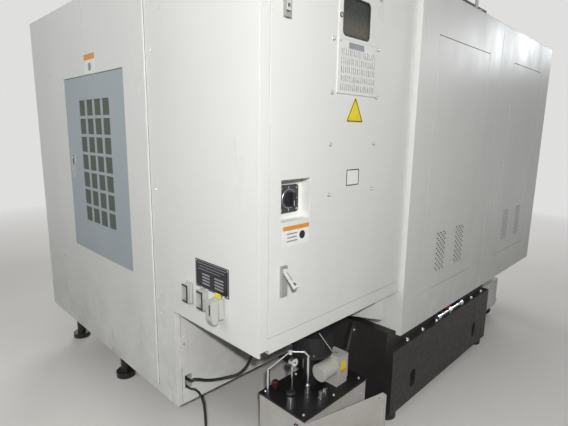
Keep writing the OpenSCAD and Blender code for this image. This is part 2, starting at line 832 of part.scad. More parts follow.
module roof_panels() color(white) {
  z = [roof_z, roof_z + 3];
  hole = [cx - 390, cx + 390];
  translate([0, 0, roof_z])
    linear_extrude(height = 3) {
      polygon([[hole[1] + 1, fy], [ex, fy], [ex, by - 1], [wall_x - 1, by - 1], [wall_x - 1, ry],
        [hole[1] + 1, ry]]);
      polygon([[fx, fy], [hole[0] - 1, fy], [hole[0] - 1, ry], [fx, ry]]);
      polygon([[hole[0] + 1, fy], [hole[1] - 1, fy], [hole[1] - 1, sp_y - 260], [hole[0] + 1, sp_y - 260]]);
      polygon([[hole[0] + 1, by + 535], [hole[1] - 1, by + 535], [hole[1] - 1, ry], [hole[0] + 1, ry]]);
    }
  for (s = [-1, 1])
    slab([cx + s * 392 - 1, cx + s * 392 + 1], [sp_y - 260, by + 535], [roof_z + 3, roof_z + 30]);
}

door_z2 = opening_z + opening_h;

module front_panels() color(white) {
  half = opening_w / 2;
  for (x = [[fx + 31, cx - half], [cx + half, ex - 31]]) {
    slab(x, [fy, fy + 3], [skin_z, roof_z]);
    slab(x, [fy + 3, fy + flange], [skin_z, skin_z + 3]);
  }
  slab([fx + 31, fx + 34], [fy + 3, fy + flange], [skin_z + 3, roof_z]);
  slab([ex - 34, ex - 31], [fy + 3, fy + flange], [skin_z + 3, roof_z]);
  slab([cx - half, cx - half + 3], [fy, fy + 9], [opening_z, door_z2]);
  slab([cx + half - 3, cx + half], [fy, fy + 9], [opening_z, door_z2]);
  for (z = [[door_z2 + 4, roof_z], [skin_z, opening_z - 2]]) {
    slab([cx - half + 1.5, cx + half - 1.5], [fy, fy + 3], z);
    slab([cx - half - 30, cx + half + 30], [fy + 3, fy + 6], [z[0] + 12, z[1] - 18]);
  }
  slab([cx - half + 1.5, cx + half - 1.5], [fy + 3, fy + flange], [skin_z, skin_z + 3]);
}

module sliding_door() {
  w = opening_w / 2 + 15;
  z = [opening_z - 10, door_z2 + 5];
  y = [fy + 12, fy + 12 + slide_d];
  difference() {
    slab([2, w], y, z);
    slab([5, w - 3], [y[0] + 3, y[1] + 1], [z[0] + 3, z[1] - 3]);
    slab([110, w - 110], [y[0] - 1, y[1] + 1], [1150, 1950]);
  }
  difference() {
    slab([100, w - 100], [y[0] + 2, y[1] - 6], [1140, 1960]);
    slab([110, w - 110], [y[0], y[1] + 1], [1150, 1950]);
    slab([102, w - 102], [y[0] + 9, y[1] - 5], [1142, 1958]);
  }
  slab([14, 32], [fy - 32, fy - 20], [1200, 1500]);
  for (z1 = [1210, 1474])
    slab([16, 30], [fy - 20, fy + 12], [z1, z1 + 16]);
  for (x = [60, w - 60])
    difference() {
      union() {
        slab([x - 20, x + 20], [y[1] - 1, fy + 47], [2060, 2142]);
        rod_y(x, [fy + 46, fy + 60], 2132.4, 24);
      }
      slab([x - 21, x + 21], [fy + 47, fy + 61], [2060, 2120.2]);
    }
}

module sliding_window() {
  w = opening_w / 2 + 15;
  y = fy + 12 + 9;
  slab([103, w - 103], [y, y + 6], [1143, 1957]);
}

module left_door() color(white) {
  translate([cx, 0, 0])
    mirror([1, 0, 0])
      sliding_door();
}

module right_door() color(white) {
  translate([cx, 0, 0])
    sliding_door();
}

module left_window() color([0.6, 0.68, 0.7]) {
  translate([cx, 0, 0])
    mirror([1, 0, 0])
      sliding_window();
}

module right_window() color([0.6, 0.68, 0.7]) {
  translate([cx, 0, 0])
    sliding_window();
}

module cabinet_shell() color(white) {
  hole_x = outer(door_x, seam);
  hole_z = outer(door_z, seam);
  difference() {
    union() {
      pan([cab_x, ex], [cab_z, cab_top], cab_y, cab_d);
      slab(outer(hole_x, 3), [cab_y - door_d - 3, cab_y], outer(hole_z, 3));
    }
    slab(hole_x, [cab_y - door_d, cab_y + 1], hole_z);
    slab(inner(hole_x, 9), [cab_y - door_d - 4, cab_y + 1], inner(hole_z, 12));
    slab([ex - 50, ex - 10], [cab_y - 40, cab_y + 1], [cab_z - 1, cab_z + 18]);
  }
  slab([cab_x + 3, ex - 3], [by, by + 3], [cab_z + 3, cab_top - 3]);
  rod_z(ex - 330, by + 200, [cab_z - 24, cab_z + 1], 34);
  hinge_pins(door_x[0] + hinge_in, cab_y - hinge_deep, door_z, hinge_d, seam);
}

module cabinet_door() color(white) {
  pocket_x = [switch_x - recess_w / 2, switch_x + recess_w / 2];
  pocket_z = [switch_z - recess_w / 2, switch_z + recess_w / 2];
  difference() {
    union() {
      pan(door_x, door_z, cab_y, door_d);
      slab(outer(pocket_x, 3), [cab_y - recess_d - 3, cab_y], outer(pocket_z, 3));
    }
    slab(pocket_x, [cab_y - recess_d, cab_y + 1], pocket_z);
    hinge_bores(door_x[0] + hinge_in, cab_y - hinge_deep, door_z, hinge_d + 0.8);
    slab([door_x[0] - 1, door_x[0] + 2 * hinge_in], [cab_y - door_d - 1, cab_y - door_d + hinge_step],
      outer(door_z, 1));
    slab(inner(cooler_x, 12), [cab_y - 4, cab_y + 1], [cooler_z[0] + 10, min(cooler_z[1], door_z[1]) - 12]);
  }
}

// Back plate with five drive units, a power supply and two rows of contactors
module drive_rack() color(mid_grey) {
  y = by + 20;
  for (x = [cab_x + 100, ex - 120])
    for (z = [cab_z + 120, cab_top - 140])
      rod_y(x, [by + 3, y + 1], z, 16);
  slab([cab_x + 60, ex - 60], [y, y + 3], [cab_z + 70, cab_top - 90]);
  for (i = [0 : 3])
    slab([cab_x + 120 + i * 130, cab_x + 230 + i * 130], [y + 3, y + 190], [1500, 1880]);
  slab([cab_x + 660, cab_x + 860], [y + 3, y + 170], [1520, 1800]);
  for (z = [1020, 1240]) {
    slab([cab_x + 110, ex - 170], [y + 3, y + 11], [z + 30, z + 65]);
    for (i = [0 : 8])
      slab([cab_x + 120 + i * 68, cab_x + 175 + i * 68], [y + 11, y + 90], [z, z + 95]);
  }
}

module cooling_unit() color(white) {
  x = cooler_x;
  z = [cooler_z[0], min(cooler_z[1], door_z[1] - 5)];
  difference() {
    union() {
      slab(x, [cab_y, cab_y + 4], z);
      slab(inner(x, 14), [cab_y - 190, cab_y], [z[0] + 12, z[1] - 14]);
    }
    slab(inner(x, 17), [cab_y - 187, cab_y - 3], [z[0] + 15, z[1] - 17]);
    slab([fan_x - fan_w / 2, fan_x + fan_w / 2], [cab_y - 4, cab_y + 5],
      [fan_z - fan_w / 2, fan_z + fan_w / 2]);
  }
  rod_y(fan_x, [cab_y - 188, cab_y - 50.3], fan_z, 70);
  for (i = [0 : 8])
    for (j = [0 : 4])
      louvre(x[0] + 24 + i * 26.5, z[0] + 14 + j * 33);
  for (d = [fan_w - 16, fan_w - 60, fan_w - 104])
    grille_ring(d);
  for (a = [0, 90])
    translate([fan_x, cab_y - 3, fan_z])
      rotate([0, a + 45, 0])
        slab([-fan_w * 0.72, fan_w * 0.72], [0, 3], [-2.5, 2.5]);
}

module louvre(x, z) {
  difference() {
    rod_z(x, cab_y + 2, [z, z + 24], 11);
    slab([x - 10, x + 10], [cab_y - 8, cab_y + 3.9], [z - 1, z + 25]);
  }
}

module grille_ring(d) {
  translate([fan_x, cab_y - 6, fan_z])
    rotate([-90, 0, 0])
      difference() {
        cylinder(d = d, h = 4);
        translate([0, 0, -1])
          cylinder(d = d - 9, h = 6);
      }
}

module cooling_fan() color(black) {
  translate([fan_x, cab_y - 50, fan_z])
    rotate([-90, 0, 0]) {
      cylinder(d = 60, h = 34);
      for (i = [0 : 6])
        rotate([0, 0, i * 360 / 7])
          translate([25, -3, 4])
            rotate([35, 0, 0])
              cube([fan_w / 2 - 34, 26, 3]);
    }
}

module handle_plate(z) {
  difference() {
    slab([handle_x - 15, handle_x + 15], [cab_y, cab_y + 12], [z - handle_l / 2, z + handle_l / 2]);
    slab([handle_x - 11, handle_x + 11], [cab_y + 3, cab_y + 13],
      [z - handle_l / 2 + 8, z + handle_l / 2 - 5]);
    rod_x([handle_x - 13.5, handle_x + 13.5], cab_y + 8, z + handle_l / 2 - 14, 5.6);
  }
}

module handle_plates() color(black) {
  handle_plate(handle_z);
  handle_plate(handle_z2);
}

// Lever that hangs from its pin at the origin
module lever() {
  rod_x([-10.4, 10.4], 0, 0, 9);
  rod_x([-13, 13], 0, 0, 5);
  slab([-10.4, 10.4], [-4.2, 4.8], [-84, 0]);
}

module upper_lever() color(steel) {
  translate([handle_x, cab_y + 8, handle_z2 + handle_l / 2 - 14])
    lever();
}

module lower_lever() color(steel) {
  translate([handle_x, cab_y + 8, handle_z + handle_l / 2 - 14])
    rotate([lever_out, 0, 0])
      lever();
}

module switch_plate() color(black) {
  y = cab_y - recess_d;
  w = switch_w - 24;
  for (sx = [-1, 1])
    for (sz = [-1, 1])
      rod_y(switch_x + sx * w / 2, [y, y + 8], switch_z + sz * w / 2, 24);
  slab([switch_x - w / 2, switch_x + w / 2], [y, y + 8], [switch_z - w / 2 - 12, switch_z + w / 2 + 12]);
  slab([switch_x - w / 2 - 12, switch_x + w / 2 + 12], [y, y + 8], [switch_z - w / 2, switch_z + w / 2]);
  rod_y(switch_x, [y + 7, y + 14], switch_z, 66);
}

module switch_knob() color(black) {
  y = cab_y - recess_d + 14;
  difference() {
    union() {
      rod_y(switch_x, [y, y + 9], switch_z, 54);
      slab([switch_x - 8, switch_x + 8], [y + 8, y + 24], [switch_z - 26, switch_z + 26]);
    }
    slab([switch_x - 1.5, switch_x + 1.5], [y + 22, y + 25], [switch_z + 4, switch_z + 24]);
  }
}

function conn_y(i) = by + 135 + i * conn_pitch;
conn_z = 838;

module connector_housings() color(mid_grey) {
  for (i = [0 : 2])
    difference() {
      union() {
        slab([ex, ex + 3], [conn_y(i) - conn_w / 2 - 5, conn_y(i) + conn_w / 2 + 5],
          [conn_z - 2, conn_z + conn_h + 2]);
        slab([ex, ex + conn_d], [conn_y(i) - conn_w / 2, conn_y(i) + conn_w / 2],
          [conn_z + 4, conn_z + conn_h - 4]);
      }
      if (i < 2)
        slab([ex + 8, ex + conn_d + 1], [conn_y(i) - conn_w / 2 + 4, conn_y(i) + conn_w / 2 - 4],
          [conn_z + 10, conn_z + conn_h - 10]);
    }
  translate([ex + conn_d, conn_y(2), 0])
    hood();
  for (i = [0 : 1])
    slab([ex + 8, ex + conn_d - 6], [conn_y(i) - conn_w / 2 + 8, conn_y(i) + conn_w / 2 - 8],
      [conn_z + 16, conn_z + conn_h - 16]);
}

// Hood with a tapered lower end, its mating face at x = 0
module hood() {
  z = [conn_z + 2, conn_z + conn_h - 6];
  translate([0, conn_w / 2 - 2, 0])
    rotate([90, 0, 0])
      linear_extrude(height = conn_w - 4)
        polygon([[0, z[0]], [4, z[0] - 16], [hood_d - 9, z[0] - 16], [hood_d, z[0] + 2], [hood_d, z[1]],
          [0, z[1]]]);
}

module locking_levers() color(black) {
  for (i = [0 : 2])
    locking_lever(i);
}

// Bail with an arm on each short side of the housing and a bar along its long side
module locking_lever(i) {
  x = [ex + 8, ex + (i == 2 ? conn_d - 0.3 : 20)];
  y = conn_y(i) + conn_w / 2 + 3;
  for (z = [conn_z + 1, conn_z + conn_h - 4]) {
    slab(x, [conn_y(i), y + 3], [z, z + 3]);
    rod_z(ex + 14, conn_y(i), [z, z + 3], 15);
  }
  slab([x[1] - 12, x[1]], [y, y + 3], [conn_z + 1, conn_z + conn_h - 1]);
}

tank_x = [ex - 267 - tank_w, ex - 267];
tank_yy = [by + tank_y, by + tank_y + tank_d];
lid_z = tank_h + 8;

module hydraulic_tank() color(white) {
  difference() {
    slab(tank_x, tank_yy, [14, tank_h]);
    slab(inner(tank_x, 4), inner(tank_yy, 4), [18, tank_h + 1]);
  }
  for (x = [tank_x[0] + 40, tank_x[1] - 40])
    for (y = [tank_yy[0] + 40, tank_yy[1] - 40])
      rod_z(x, y, [0, 14], 50);
}

motor_x = ex - 520;
motor_y = by + 395;

module pump_motor() color(black) {
  rod_z(motor_x, motor_y, [lid_z, 516], 86);
  rod_z(motor_x, motor_y, [515, 530], pump_d + 6);
  rod_z(motor_x, motor_y, [530, 618], pump_d);
  translate([motor_x, motor_y, 618])
    cylinder(d1 = pump_d, d2 = pump_d - 70, h = 24);
  slab([motor_x - 4, motor_x + 4], [motor_y - 14, motor_y + 14], [640, 668]);
  slab(outer(tank_x, 4), outer(tank_yy, 4), [tank_h, lid_z]);
}

module hydraulic_valves() color(mid_grey) {
  slab([ex - 640, ex - 560], [by + 432, by + 520], [lid_z, 386]);
  slab([ex - 635, ex - 560], [by + 441, by + 527], [385, 510]);
  rod_x([ex - 560, ex - 470], by + 484, 450, 86);
  rod_x([ex - 470, ex - 462], by + 484, 450, 70);
}

// Straight pipe between two points
module straight_pipe(a, b, d) {
  v = b - a;
  translate(a)
    rotate([0, acos(v[2] / norm(v)), atan2(v[1], v[0])])
      translate([0, 0, -d / 4])
        cylinder(d = d, h = norm(v) + d / 2);
}

// Pipe through a list of points
module pipe_run(points, d) {
  for (i = [0 : len(points) - 2])
    straight_pipe(points[i], points[i + 1], d);
}

module pipes() color(steel) {
  translate([ex, by, lid_z]) {
    pipe_run([[-424, 452, 5], [-424, 452, 190], [-408, 440, 212], [-357, 400, 217]], 12);
    rod_z(-424, 452, [0, 44], 28);
    straight_pipe([-357, 400, 217], [-296, 318, 118], 8);
    rod_z(-296, 318, [0, 118], 13);
    rod_z(-357, 400, [205, 229], 20);
    rod_z(-322, 440, [0, 30], 40);
    rod_z(-490, 506, [0, 26], 22);
    rod_z(-437, 522, [0, 34], 22);
    pipe_run([[-590, 498, 160.5], [-533, 505, 194], [-440, 500, 314]], 6);
    rod_y(-384, [382, 404], 152, 40);
    rod_z(-384, 390, [0, 136], 12);
  }
  translate([ex, by, 0]) {
    rod_x([-1850, -1500], 582, ledge_z + 18, 20);
    for (x = [-1850, -1680, -1520])
      rod_x([x, x + 40], 582, ledge_z + 18, 35);
  }
}

module skirt_panel() color(white) {
  translate([tank_x[1], by + skirt_y, 0])
    rotate([0, 0, 180 - skirt_a])
      difference() {
        union() {
          slab([0, skirt_w], [-2, 0], [0, skirt_h]);
          slab([skirt_w - 2, skirt_w], [-skirt_f, 0], [0, skirt_h]);
        }
        rod_y(skirt_w - 24, [-3, 1], skirt_h - 22, 8);
      }
}

cool_x = [cx - base_w / 2 - cool_gap - cool_w, cx - base_w / 2 - cool_gap];
cool_y = [by + 480 - cool_l, by + 480];

module coolant_tank() color(white) {
  top = cool_top;
  difference() {
    slab(cool_x, cool_y, [wheel_d + 18, top]);
    slab(inner(cool_x, 3), inner(cool_y, 3), [wheel_d + 21, top - 3]);
    slab(inner(cool_x, 60), [cool_y[0] + 60, cool_y[1] - 520], [top - 4, top + 1]);
    rod_z(cool_x[0] + 170, cool_y[1] - 200, [top - 4, top + 1], 140.8);
  }
  rod_z(cool_x[0] + 170, cool_y[1] - 200, [top - 120, top + 150], 140);
  rod_z(cool_x[0] + 170, cool_y[1] - 200, [top, top + 8], 190);
  for (x = [cool_x[0] + 45, cool_x[1] - 45])
    for (y = [cool_y[0] + 80, cool_y[1] - 60])
      caster(x, y);
  rod_x([cool_x[0] - 54, cool_x[0]], cool_y[1] - 20, 124, 26);
  rod_z(cool_x[0] - 40, cool_y[1] - 20, [90, 124], 22);
}

module caster(x, y) {
  slab([x - 32, x + 32], [y - 32, y + 32], [wheel_d + 12, wheel_d + 18]);
  for (s = [-1, 1])
    slab([x + s * 20 - 2, x + s * 20 + 2], [y - 16, y + 16], [wheel_d / 2 - 12, wheel_d + 12]);
  rod_x([x - 18, x + 18], y, wheel_d / 2, 10);
}

module caster_wheels() color(rubber) {
  for (x = [cool_x[0] + 45, cool_x[1] - 45])
    for (y = [cool_y[0] + 80, cool_y[1] - 60])
      difference() {
        rod_x([x - 14, x + 14], y, wheel_d / 2, wheel_d);
        rod_x([x - 15, x + 15], y, wheel_d / 2, 10.8);
      }
}

module signal_lamp() color(mid_grey) {
  x = ex - 1680;
  y = ry - 36;
  rod_z(x, y, [roof_z + 3, roof_z + 14], 66);
  rod_z(x, y, [roof_z + 14, roof_z + 110], 18);
  for (i = [0 : 2])
    rod_z(x, y, [roof_z + 110 + i * 62, roof_z + 170 + i * 62], 56);
  rod_z(x, y, [roof_z + 109, roof_z + 300], 44);
}

pend_x = ex - 400;
pend_z = [950, 950 + pend_h];
pend_y = fy - pend_gap;
arm_x = pend_x + pend_w / 2 - 40;

module pendant_arm() color(white) {
  slab([arm_x - 60, arm_x + 60], [fy - 12, fy], [1700, 1840]);
  difference() {
    union() {
      slab([arm_x - 30, arm_x + 30], [pend_y - 60, fy - 11], [1740, 1790]);
      rod_z(arm_x, pend_y - 60, [1735, 1795], 90);
    }
    rod_z(arm_x, pend_y - 60, [1734, 1796], 40.8);
  }
}

module pendant() color(mid_grey) {
  x = [pend_x - pend_w / 2, pend_x + pend_w / 2];
  y = [pend_y - pend_d, pend_y];
  difference() {
    slab(x, y, pend_z);
    slab(inner(x, 60), [y[0] - 1, y[0] + 6], [pend_z[1] - 330, pend_z[1] - 60]);
    rod_y(x[1] - 70, [y[0] - 1, y[0] + 30], pend_z[0] + 70, 20.8);
    rod_y(x[0] + 80, [y[0] - 1, y[0] + 20], pend_z[0] + 70, 10.8);
  }
  for (i = [0 : 9])
    for (j = [0 : 3])
      slab([x[0] + 62 + i * 36, x[0] + 90 + i * 36], [y[0] - 5, y[0]],
        [pend_z[0] + 150 + j * 38, pend_z[0] + 178 + j * 38]);
  rod_z(arm_x, pend_y - 60, [pend_z[1], 1800], 40);
  rod_z(arm_x, pend_y - 60, [pend_z[1], 1734.5], 80);
  rod_z(arm_x, pend_y - 60, [1795.5, 1806], 70);
}

module emergency_stop() color([0.75, 0.1, 0.1]) {
  x = pend_x + pend_w / 2 - 70;
  y = pend_y - pend_d;
  rod_y(x, [y - 12, y + 16], pend_z[0] + 70, 20);
  rod_y(x, [y - stop_h, y - 12], pend_z[0] + 70, 40);
}

module feed_knob() color(black) {
  x = pend_x - pend_w / 2 + 80;
  y = pend_y - pend_d;
  rod_y(x, [y - 3, y + 16], pend_z[0] + 70, 10);
  rod_y(x, [y - 22, y - 3], pend_z[0] + 70, 44);
}

// Smooth curve through a list of points, used by the two cables under the cabinet
function knot(p, i) = p[max(0, min(len(p) - 1, i))];
function curve_at(p, i, t) =
  0.5 * (2 * knot(p, i) + (knot(p, i + 1) - knot(p, i - 1)) * t
    + (2 * knot(p, i - 1) - 5 * knot(p, i) + 4 * knot(p, i + 1) - knot(p, i + 2)) * t * t
    + (3 * knot(p, i) - knot(p, i - 1) - 3 * knot(p, i + 1) + knot(p, i + 2)) * t * t * t);
function course(p, n) =
  [for (i = [0 : len(p) - 2]) for (k = [0 : n - 1]) curve_at(p, i, k / n), p[len(p) - 1]];
function unit(v) = v / norm(v);
function heading(c, i) = unit(c[min(i + 1, len(c) - 1)] - c[max(i - 1, 0)]);
function carried(n, t) = unit(n - (n * t) * t);
function normals(c, i = 0, n = [0.3, 0.5, 0.8]) =
  i >= len(c) ? [] : let (m = carried(n, heading(c, i))) concat([m], normals(c, i + 1, m));

module swept_cord(points, d, steps) {
  c = course(points, steps);
  nn = normals(c);
  s = 10;
  rings = [for (i = [0 : len(c) - 1]) for (k = [0 : s - 1])
    c[i] + d / 2 * (cos(k * 360 / s) * nn[i] + sin(k * 360 / s) * cross(heading(c, i), nn[i]))];
  sides = [for (i = [0 : len(c) - 2]) for (k = [0 : s - 1])
    [i * s + k, i * s + (k + 1) % s, (i + 1) * s + (k + 1) % s, (i + 1) * s + k]];
  first = [for (k = [s - 1 : -1 : 0]) k];
  last = [for (k = [0 : s - 1]) (len(c) - 1) * s + k];
  polyhedron(rings, concat(sides, [first], [last]));
}

cable_one = [[-63, -40, 372], [-63, -8, 374], [-64, 22, 377], [-76, 32, 384], [-100, 36, 375],
  [-144, 36, 352], [-195, 42, 336], [-250, 56, 330], [-300, 88, 342], [-326, 130, 400], [-332, 170, 500],
  [-331, 192, 600], [-330, 199, 680], [-330, 200, cab_z - 24.4]];
cable_two = [[-55, -40, 338], [-56, -8, 338], [-60, 20, 337], [-80, 34, 328], [-104, 38, 290],
  [-124, 36, 220], [-132, 33, 140], [-140, 24, 70], [-160, 0, 22], [-200, -60, 8], [-260, -160, 7],
  [-340, -300, 7], [-420, -460, 7], [-520, -620, 7], [-660, -740, 7], [-820, -800, 7]];
hose = [[-635.6, 486, 472], [-656, 486, 474], [-686, 484, 498], [-716, 476, 546], [-760, 456, 580],
  [-820, 420, 574], [-872, 384, 524], [-896, 362, 484], [base_side + 20, 353, 470],
  [base_side + 0.8, 352, 470]];

module power_cables() color(black) {
  translate([ex, by, 0]) {
    swept_cord(cable_one, 15, 5);
    swept_cord(cable_two, 11, 5);
    swept_cord(hose, 16, 5);
  }
}

base_casting();
levelling_pads();
column_casting();
guide_rails();
axis_motors();
ball_screw_y();
ball_screw_z();
saddle();
ball_screw_x();
work_table();
way_cover_middle();
way_cover_moving();
splash_sheets();
spindle_head();
spindle_shaft();
magazine_rail();
magazine_carriage();
tool_disc();
tool_holders();
enclosure_frame();
right_end_skin();
right_end_cover();
vent_hatch();
hatch_filter();
hatch_latch();
far_end_skin();
rear_panels();
service_panels();
end_rear_wall();
roof_panels();
front_panels();
left_door();
right_door();
left_window();
right_window();
cabinet_shell();
cabinet_door();
drive_rack();
cooling_unit();
cooling_fan();
handle_plates();
upper_lever();
lower_lever();
switch_plate();
switch_knob();
connector_housings();
locking_levers();
hydraulic_tank();
pump_motor();
hydraulic_valves();
pipes();
skirt_panel();
coolant_tank();
caster_wheels();
power_cables();
signal_lamp();
pendant_arm();
pendant();
emergency_stop();
feed_knob();
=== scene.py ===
"""Looks of a vertical machining center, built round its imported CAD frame."""

import math
import random
import bmesh
import bpy
from mathutils import Matrix, Vector


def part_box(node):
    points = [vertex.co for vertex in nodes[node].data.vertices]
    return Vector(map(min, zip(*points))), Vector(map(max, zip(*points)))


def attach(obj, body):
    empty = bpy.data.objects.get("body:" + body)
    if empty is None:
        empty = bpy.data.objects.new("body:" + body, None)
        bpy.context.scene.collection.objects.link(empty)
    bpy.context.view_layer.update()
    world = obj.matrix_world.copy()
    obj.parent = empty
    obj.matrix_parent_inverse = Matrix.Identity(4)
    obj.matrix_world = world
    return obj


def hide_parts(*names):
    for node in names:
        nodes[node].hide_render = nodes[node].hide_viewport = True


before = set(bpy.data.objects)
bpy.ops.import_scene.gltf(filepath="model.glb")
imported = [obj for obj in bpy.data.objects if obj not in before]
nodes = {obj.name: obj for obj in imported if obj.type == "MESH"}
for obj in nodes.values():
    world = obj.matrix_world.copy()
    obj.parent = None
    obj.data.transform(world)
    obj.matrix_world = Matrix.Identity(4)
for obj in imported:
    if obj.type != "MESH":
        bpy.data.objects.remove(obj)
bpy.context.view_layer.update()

MM = 0.001
scene = bpy.context.scene

# Anchors, in metres, read from the frame
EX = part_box("right_end_skin")[1].x
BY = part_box("right_end_skin")[1].y
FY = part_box("front_panels")[0].y
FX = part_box("far_end_skin")[0].x
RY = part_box("rear_panels")[1].y
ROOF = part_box("rear_panels")[1].z
COVER_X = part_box("right_end_cover")[1].x
HATCH_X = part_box("vent_hatch")[1].x
CABINET_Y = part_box("cabinet_door")[1].y
COOLER_OUT = 0.004
COOLER_Y = CABINET_Y + COOLER_OUT


def corner(x, y, z):
    """Point given in millimetres from the rear corner of the right end, at the floor."""
    return Vector((EX + x * MM, BY + y * MM, z * MM))


# Camera

LENS = 26.91
SENSOR_WIDTH = 36.0
CLIP_END = 200.0
CAMERA_AT = (953, 1641, 1562.4)
CAMERA_AZIMUTH, CAMERA_ELEVATION, CAMERA_ROLL = 134.68, 10.757, 0.845


def make_camera():
    az, el, roll = map(math.radians, (CAMERA_AZIMUTH, CAMERA_ELEVATION, CAMERA_ROLL))
    back = Vector((math.sin(az) * math.cos(el), -math.cos(az) * math.cos(el), math.sin(el)))
    level = Vector((math.cos(az), math.sin(az), 0))
    upright = back.cross(level)
    right = level * math.cos(roll) + upright * math.sin(roll)
    up = upright * math.cos(roll) - level * math.sin(roll)
    data = bpy.data.cameras.new("camera")
    data.lens = LENS
    data.sensor_width = SENSOR_WIDTH
    data.clip_end = CLIP_END
    camera = bpy.data.objects.new("camera", data)
    scene.collection.objects.link(camera)
    facing = Matrix((right, up, back)).transposed().to_4x4()
    camera.matrix_world = Matrix.Translation(corner(*CAMERA_AT)) @ facing
    scene.camera = camera


make_camera()


# Finishes


def srgb(r, g, b):
    """Linear colour of a colour that is written from 0 to 255."""
    def one(v):
        v /= 255
        return v / 12.92 if v <= 0.04045 else ((v + 0.055) / 1.055) ** 2.4

    return (one(r), one(g), one(b), 1.0)


class Nodes:
    """Short hand for building one material's node tree."""

    def __init__(self, material):
        """Starts a material of the name given, or goes on with the material given."""
        if isinstance(material, str):
            material = bpy.data.materials.new(material)
            material.use_nodes = True
        self.material, self.tree = material, material.node_tree
        self.shader = self.tree.nodes["Principled BSDF"]
        self.place = self.new("ShaderNodeTexCoord").outputs["Object"]

    def new(self, kind, **values):
        node = self.tree.nodes.new(kind)
        for key, value in values.items():
            setattr(node, key, value)
        return node

    def link(self, source, target):
        self.tree.links.new(source, target)

    def scaled(self, x, y, z):
        """Object coordinates, stretched along each axis."""
        mapping = self.new("ShaderNodeMapping")
        mapping.inputs["Scale"].default_value = (x, y, z)
        self.link(self.place, mapping.inputs["Vector"])
        return mapping.outputs["Vector"]

    def noise(self, scale, detail=3.0, rough=0.5, vector=None, distortion=0.0):
        node = self.new("ShaderNodeTexNoise")
        node.inputs["Scale"].default_value = scale
        node.inputs["Detail"].default_value = detail
        node.inputs["Roughness"].default_value = rough
        node.inputs["Distortion"].default_value = distortion
        self.link(vector or self.place, node.inputs["Vector"])
        return node.outputs["Fac"]

    def cells(self, scale, vector=None):
        node = self.new("ShaderNodeTexVoronoi")
        node.inputs["Scale"].default_value = scale
        self.link(vector or self.place, node.inputs["Vector"])
        return node.outputs["Distance"]

    def span(self, value, low, high, to_low=0.0, to_high=1.0):
        node = self.new("ShaderNodeMapRange", clamp=True)
        for key, number in zip(("From Min", "From Max", "To Min", "To Max"), (low, high, to_low, to_high)):
            node.inputs[key].default_value = number
        self.link(value, node.inputs["Value"])
        return node.outputs["Result"]

    def math(self, operation, a, b):
        node = self.new("ShaderNodeMath", operation=operation, use_clamp=True)
        for socket, value in zip(node.inputs, (a, b)):
            if isinstance(value, (int, float)):
                socket.default_value = value
            else:
                self.link(value, socket)
        return node.outputs[0]

    def mix(self, factor, a, b):
        node = self.new("ShaderNodeMix", data_type="RGBA")
        for name, value in (("Factor", factor), ("A", a), ("B", b)):
            index = {"Factor": 0, "A": 6, "B": 7}[name]
            if isinstance(value, (tuple, float)):
                node.inputs[index].default_value = value
            else:
                self.link(value, node.inputs[index])
        return node.outputs[2]

    def axis(self, name):
        """One of the object coordinates, in metres."""
        node = self.new("ShaderNodeSeparateXYZ")
        self.link(self.place, node.inputs[0])
        return node.outputs[name]

    def bump(self, value, distance, normal=None):
        node = self.new("ShaderNodeBump")
        node.inputs["Distance"].default_value = distance
        self.link(value, node.inputs["Height"])
        if normal is not None:
            self.link(normal, node.inputs["Normal"])
        return node.outputs["Normal"]

    def edges(self, radius):
        node = self.new("ShaderNodeBevel", samples=4)
        node.inputs["Radius"].default_value = radius
        return node.outputs["Normal"]

    def worn(self, radius):
        """Near 1 along sharp edges and 0 on the flats."""
        rounded = self.edges(radius)
        flat = self.new("ShaderNodeNewGeometry").outputs["Normal"]
        dot = self.new("ShaderNodeVectorMath", operation="DOT_PRODUCT")
        self.link(rounded, dot.inputs[0])
        self.link(flat, dot.inputs[1])
        return self.span(dot.outputs["Value"], 0.995, 0.9)

    def color(self, value):
        self.put("Base Color", value)

    def along(self, axis, low, high, soft=0.002):
        """1 where the coordinate lies between two values in metres."""
        value = self.axis(axis)
        rise = self.span(value, low - soft, low)
        return self.math("MULTIPLY", rise, self.span(value, high, high + soft, 1.0, 0.0))

    def put(self, name, value):
        socket = self.shader.inputs[name]
        if isinstance(value, (int, float, tuple)):
            socket.default_value = value
        else:
            self.link(value, socket)


def darker(color, share):
    return tuple(c * share for c in color[:3]) + (1.0,)


def painted(name, color, rough=0.32, fold=0.0022, dust=0.35, peel=0.00003):
    """Sprayed paint on folded sheet: orange peel, soft folds, faint smears, dust near the floor."""
    n = Nodes(name)
    smear = n.noise(1.7, 5.0, 0.6, n.scaled(1.0, 1.0, 0.35), 0.4)
    tone = n.mix(n.span(smear, 0.35, 0.7), color, darker(color, 0.94))
    specks = n.span(n.noise(260.0, 2.0), 0.70, 0.78)
    tone = n.mix(n.math("MULTIPLY", specks, 0.25), tone, darker(color, 0.6))
    low = n.math("MULTIPLY", n.span(n.axis("Z"), 0.95, 0.2), n.span(n.noise(4.0, 6.0, 0.65), 0.42, 0.72))
    n.color(n.mix(n.math("MULTIPLY", low, dust), tone, srgb(120, 104, 88)))
    sheen = n.noise(3.1, 4.0, 0.6, n.scaled(1.0, 1.0, 0.4))
    n.put("Roughness", n.span(sheen, 0.3, 0.75, rough - 0.07, rough + 0.12))
    n.put("Normal", n.bump(n.noise(330.0, 2.0), peel, n.edges(fold)))
    n.put("Specular IOR Level", 0.5)
    return n.material


def thick_paint(name, color, dust=0.0, peel=0.00005, rough=0.42):
    """Paint on small castings and housings, with rounder edges."""
    return painted(name, color, rough=rough, fold=0.0015, dust=dust, peel=peel)


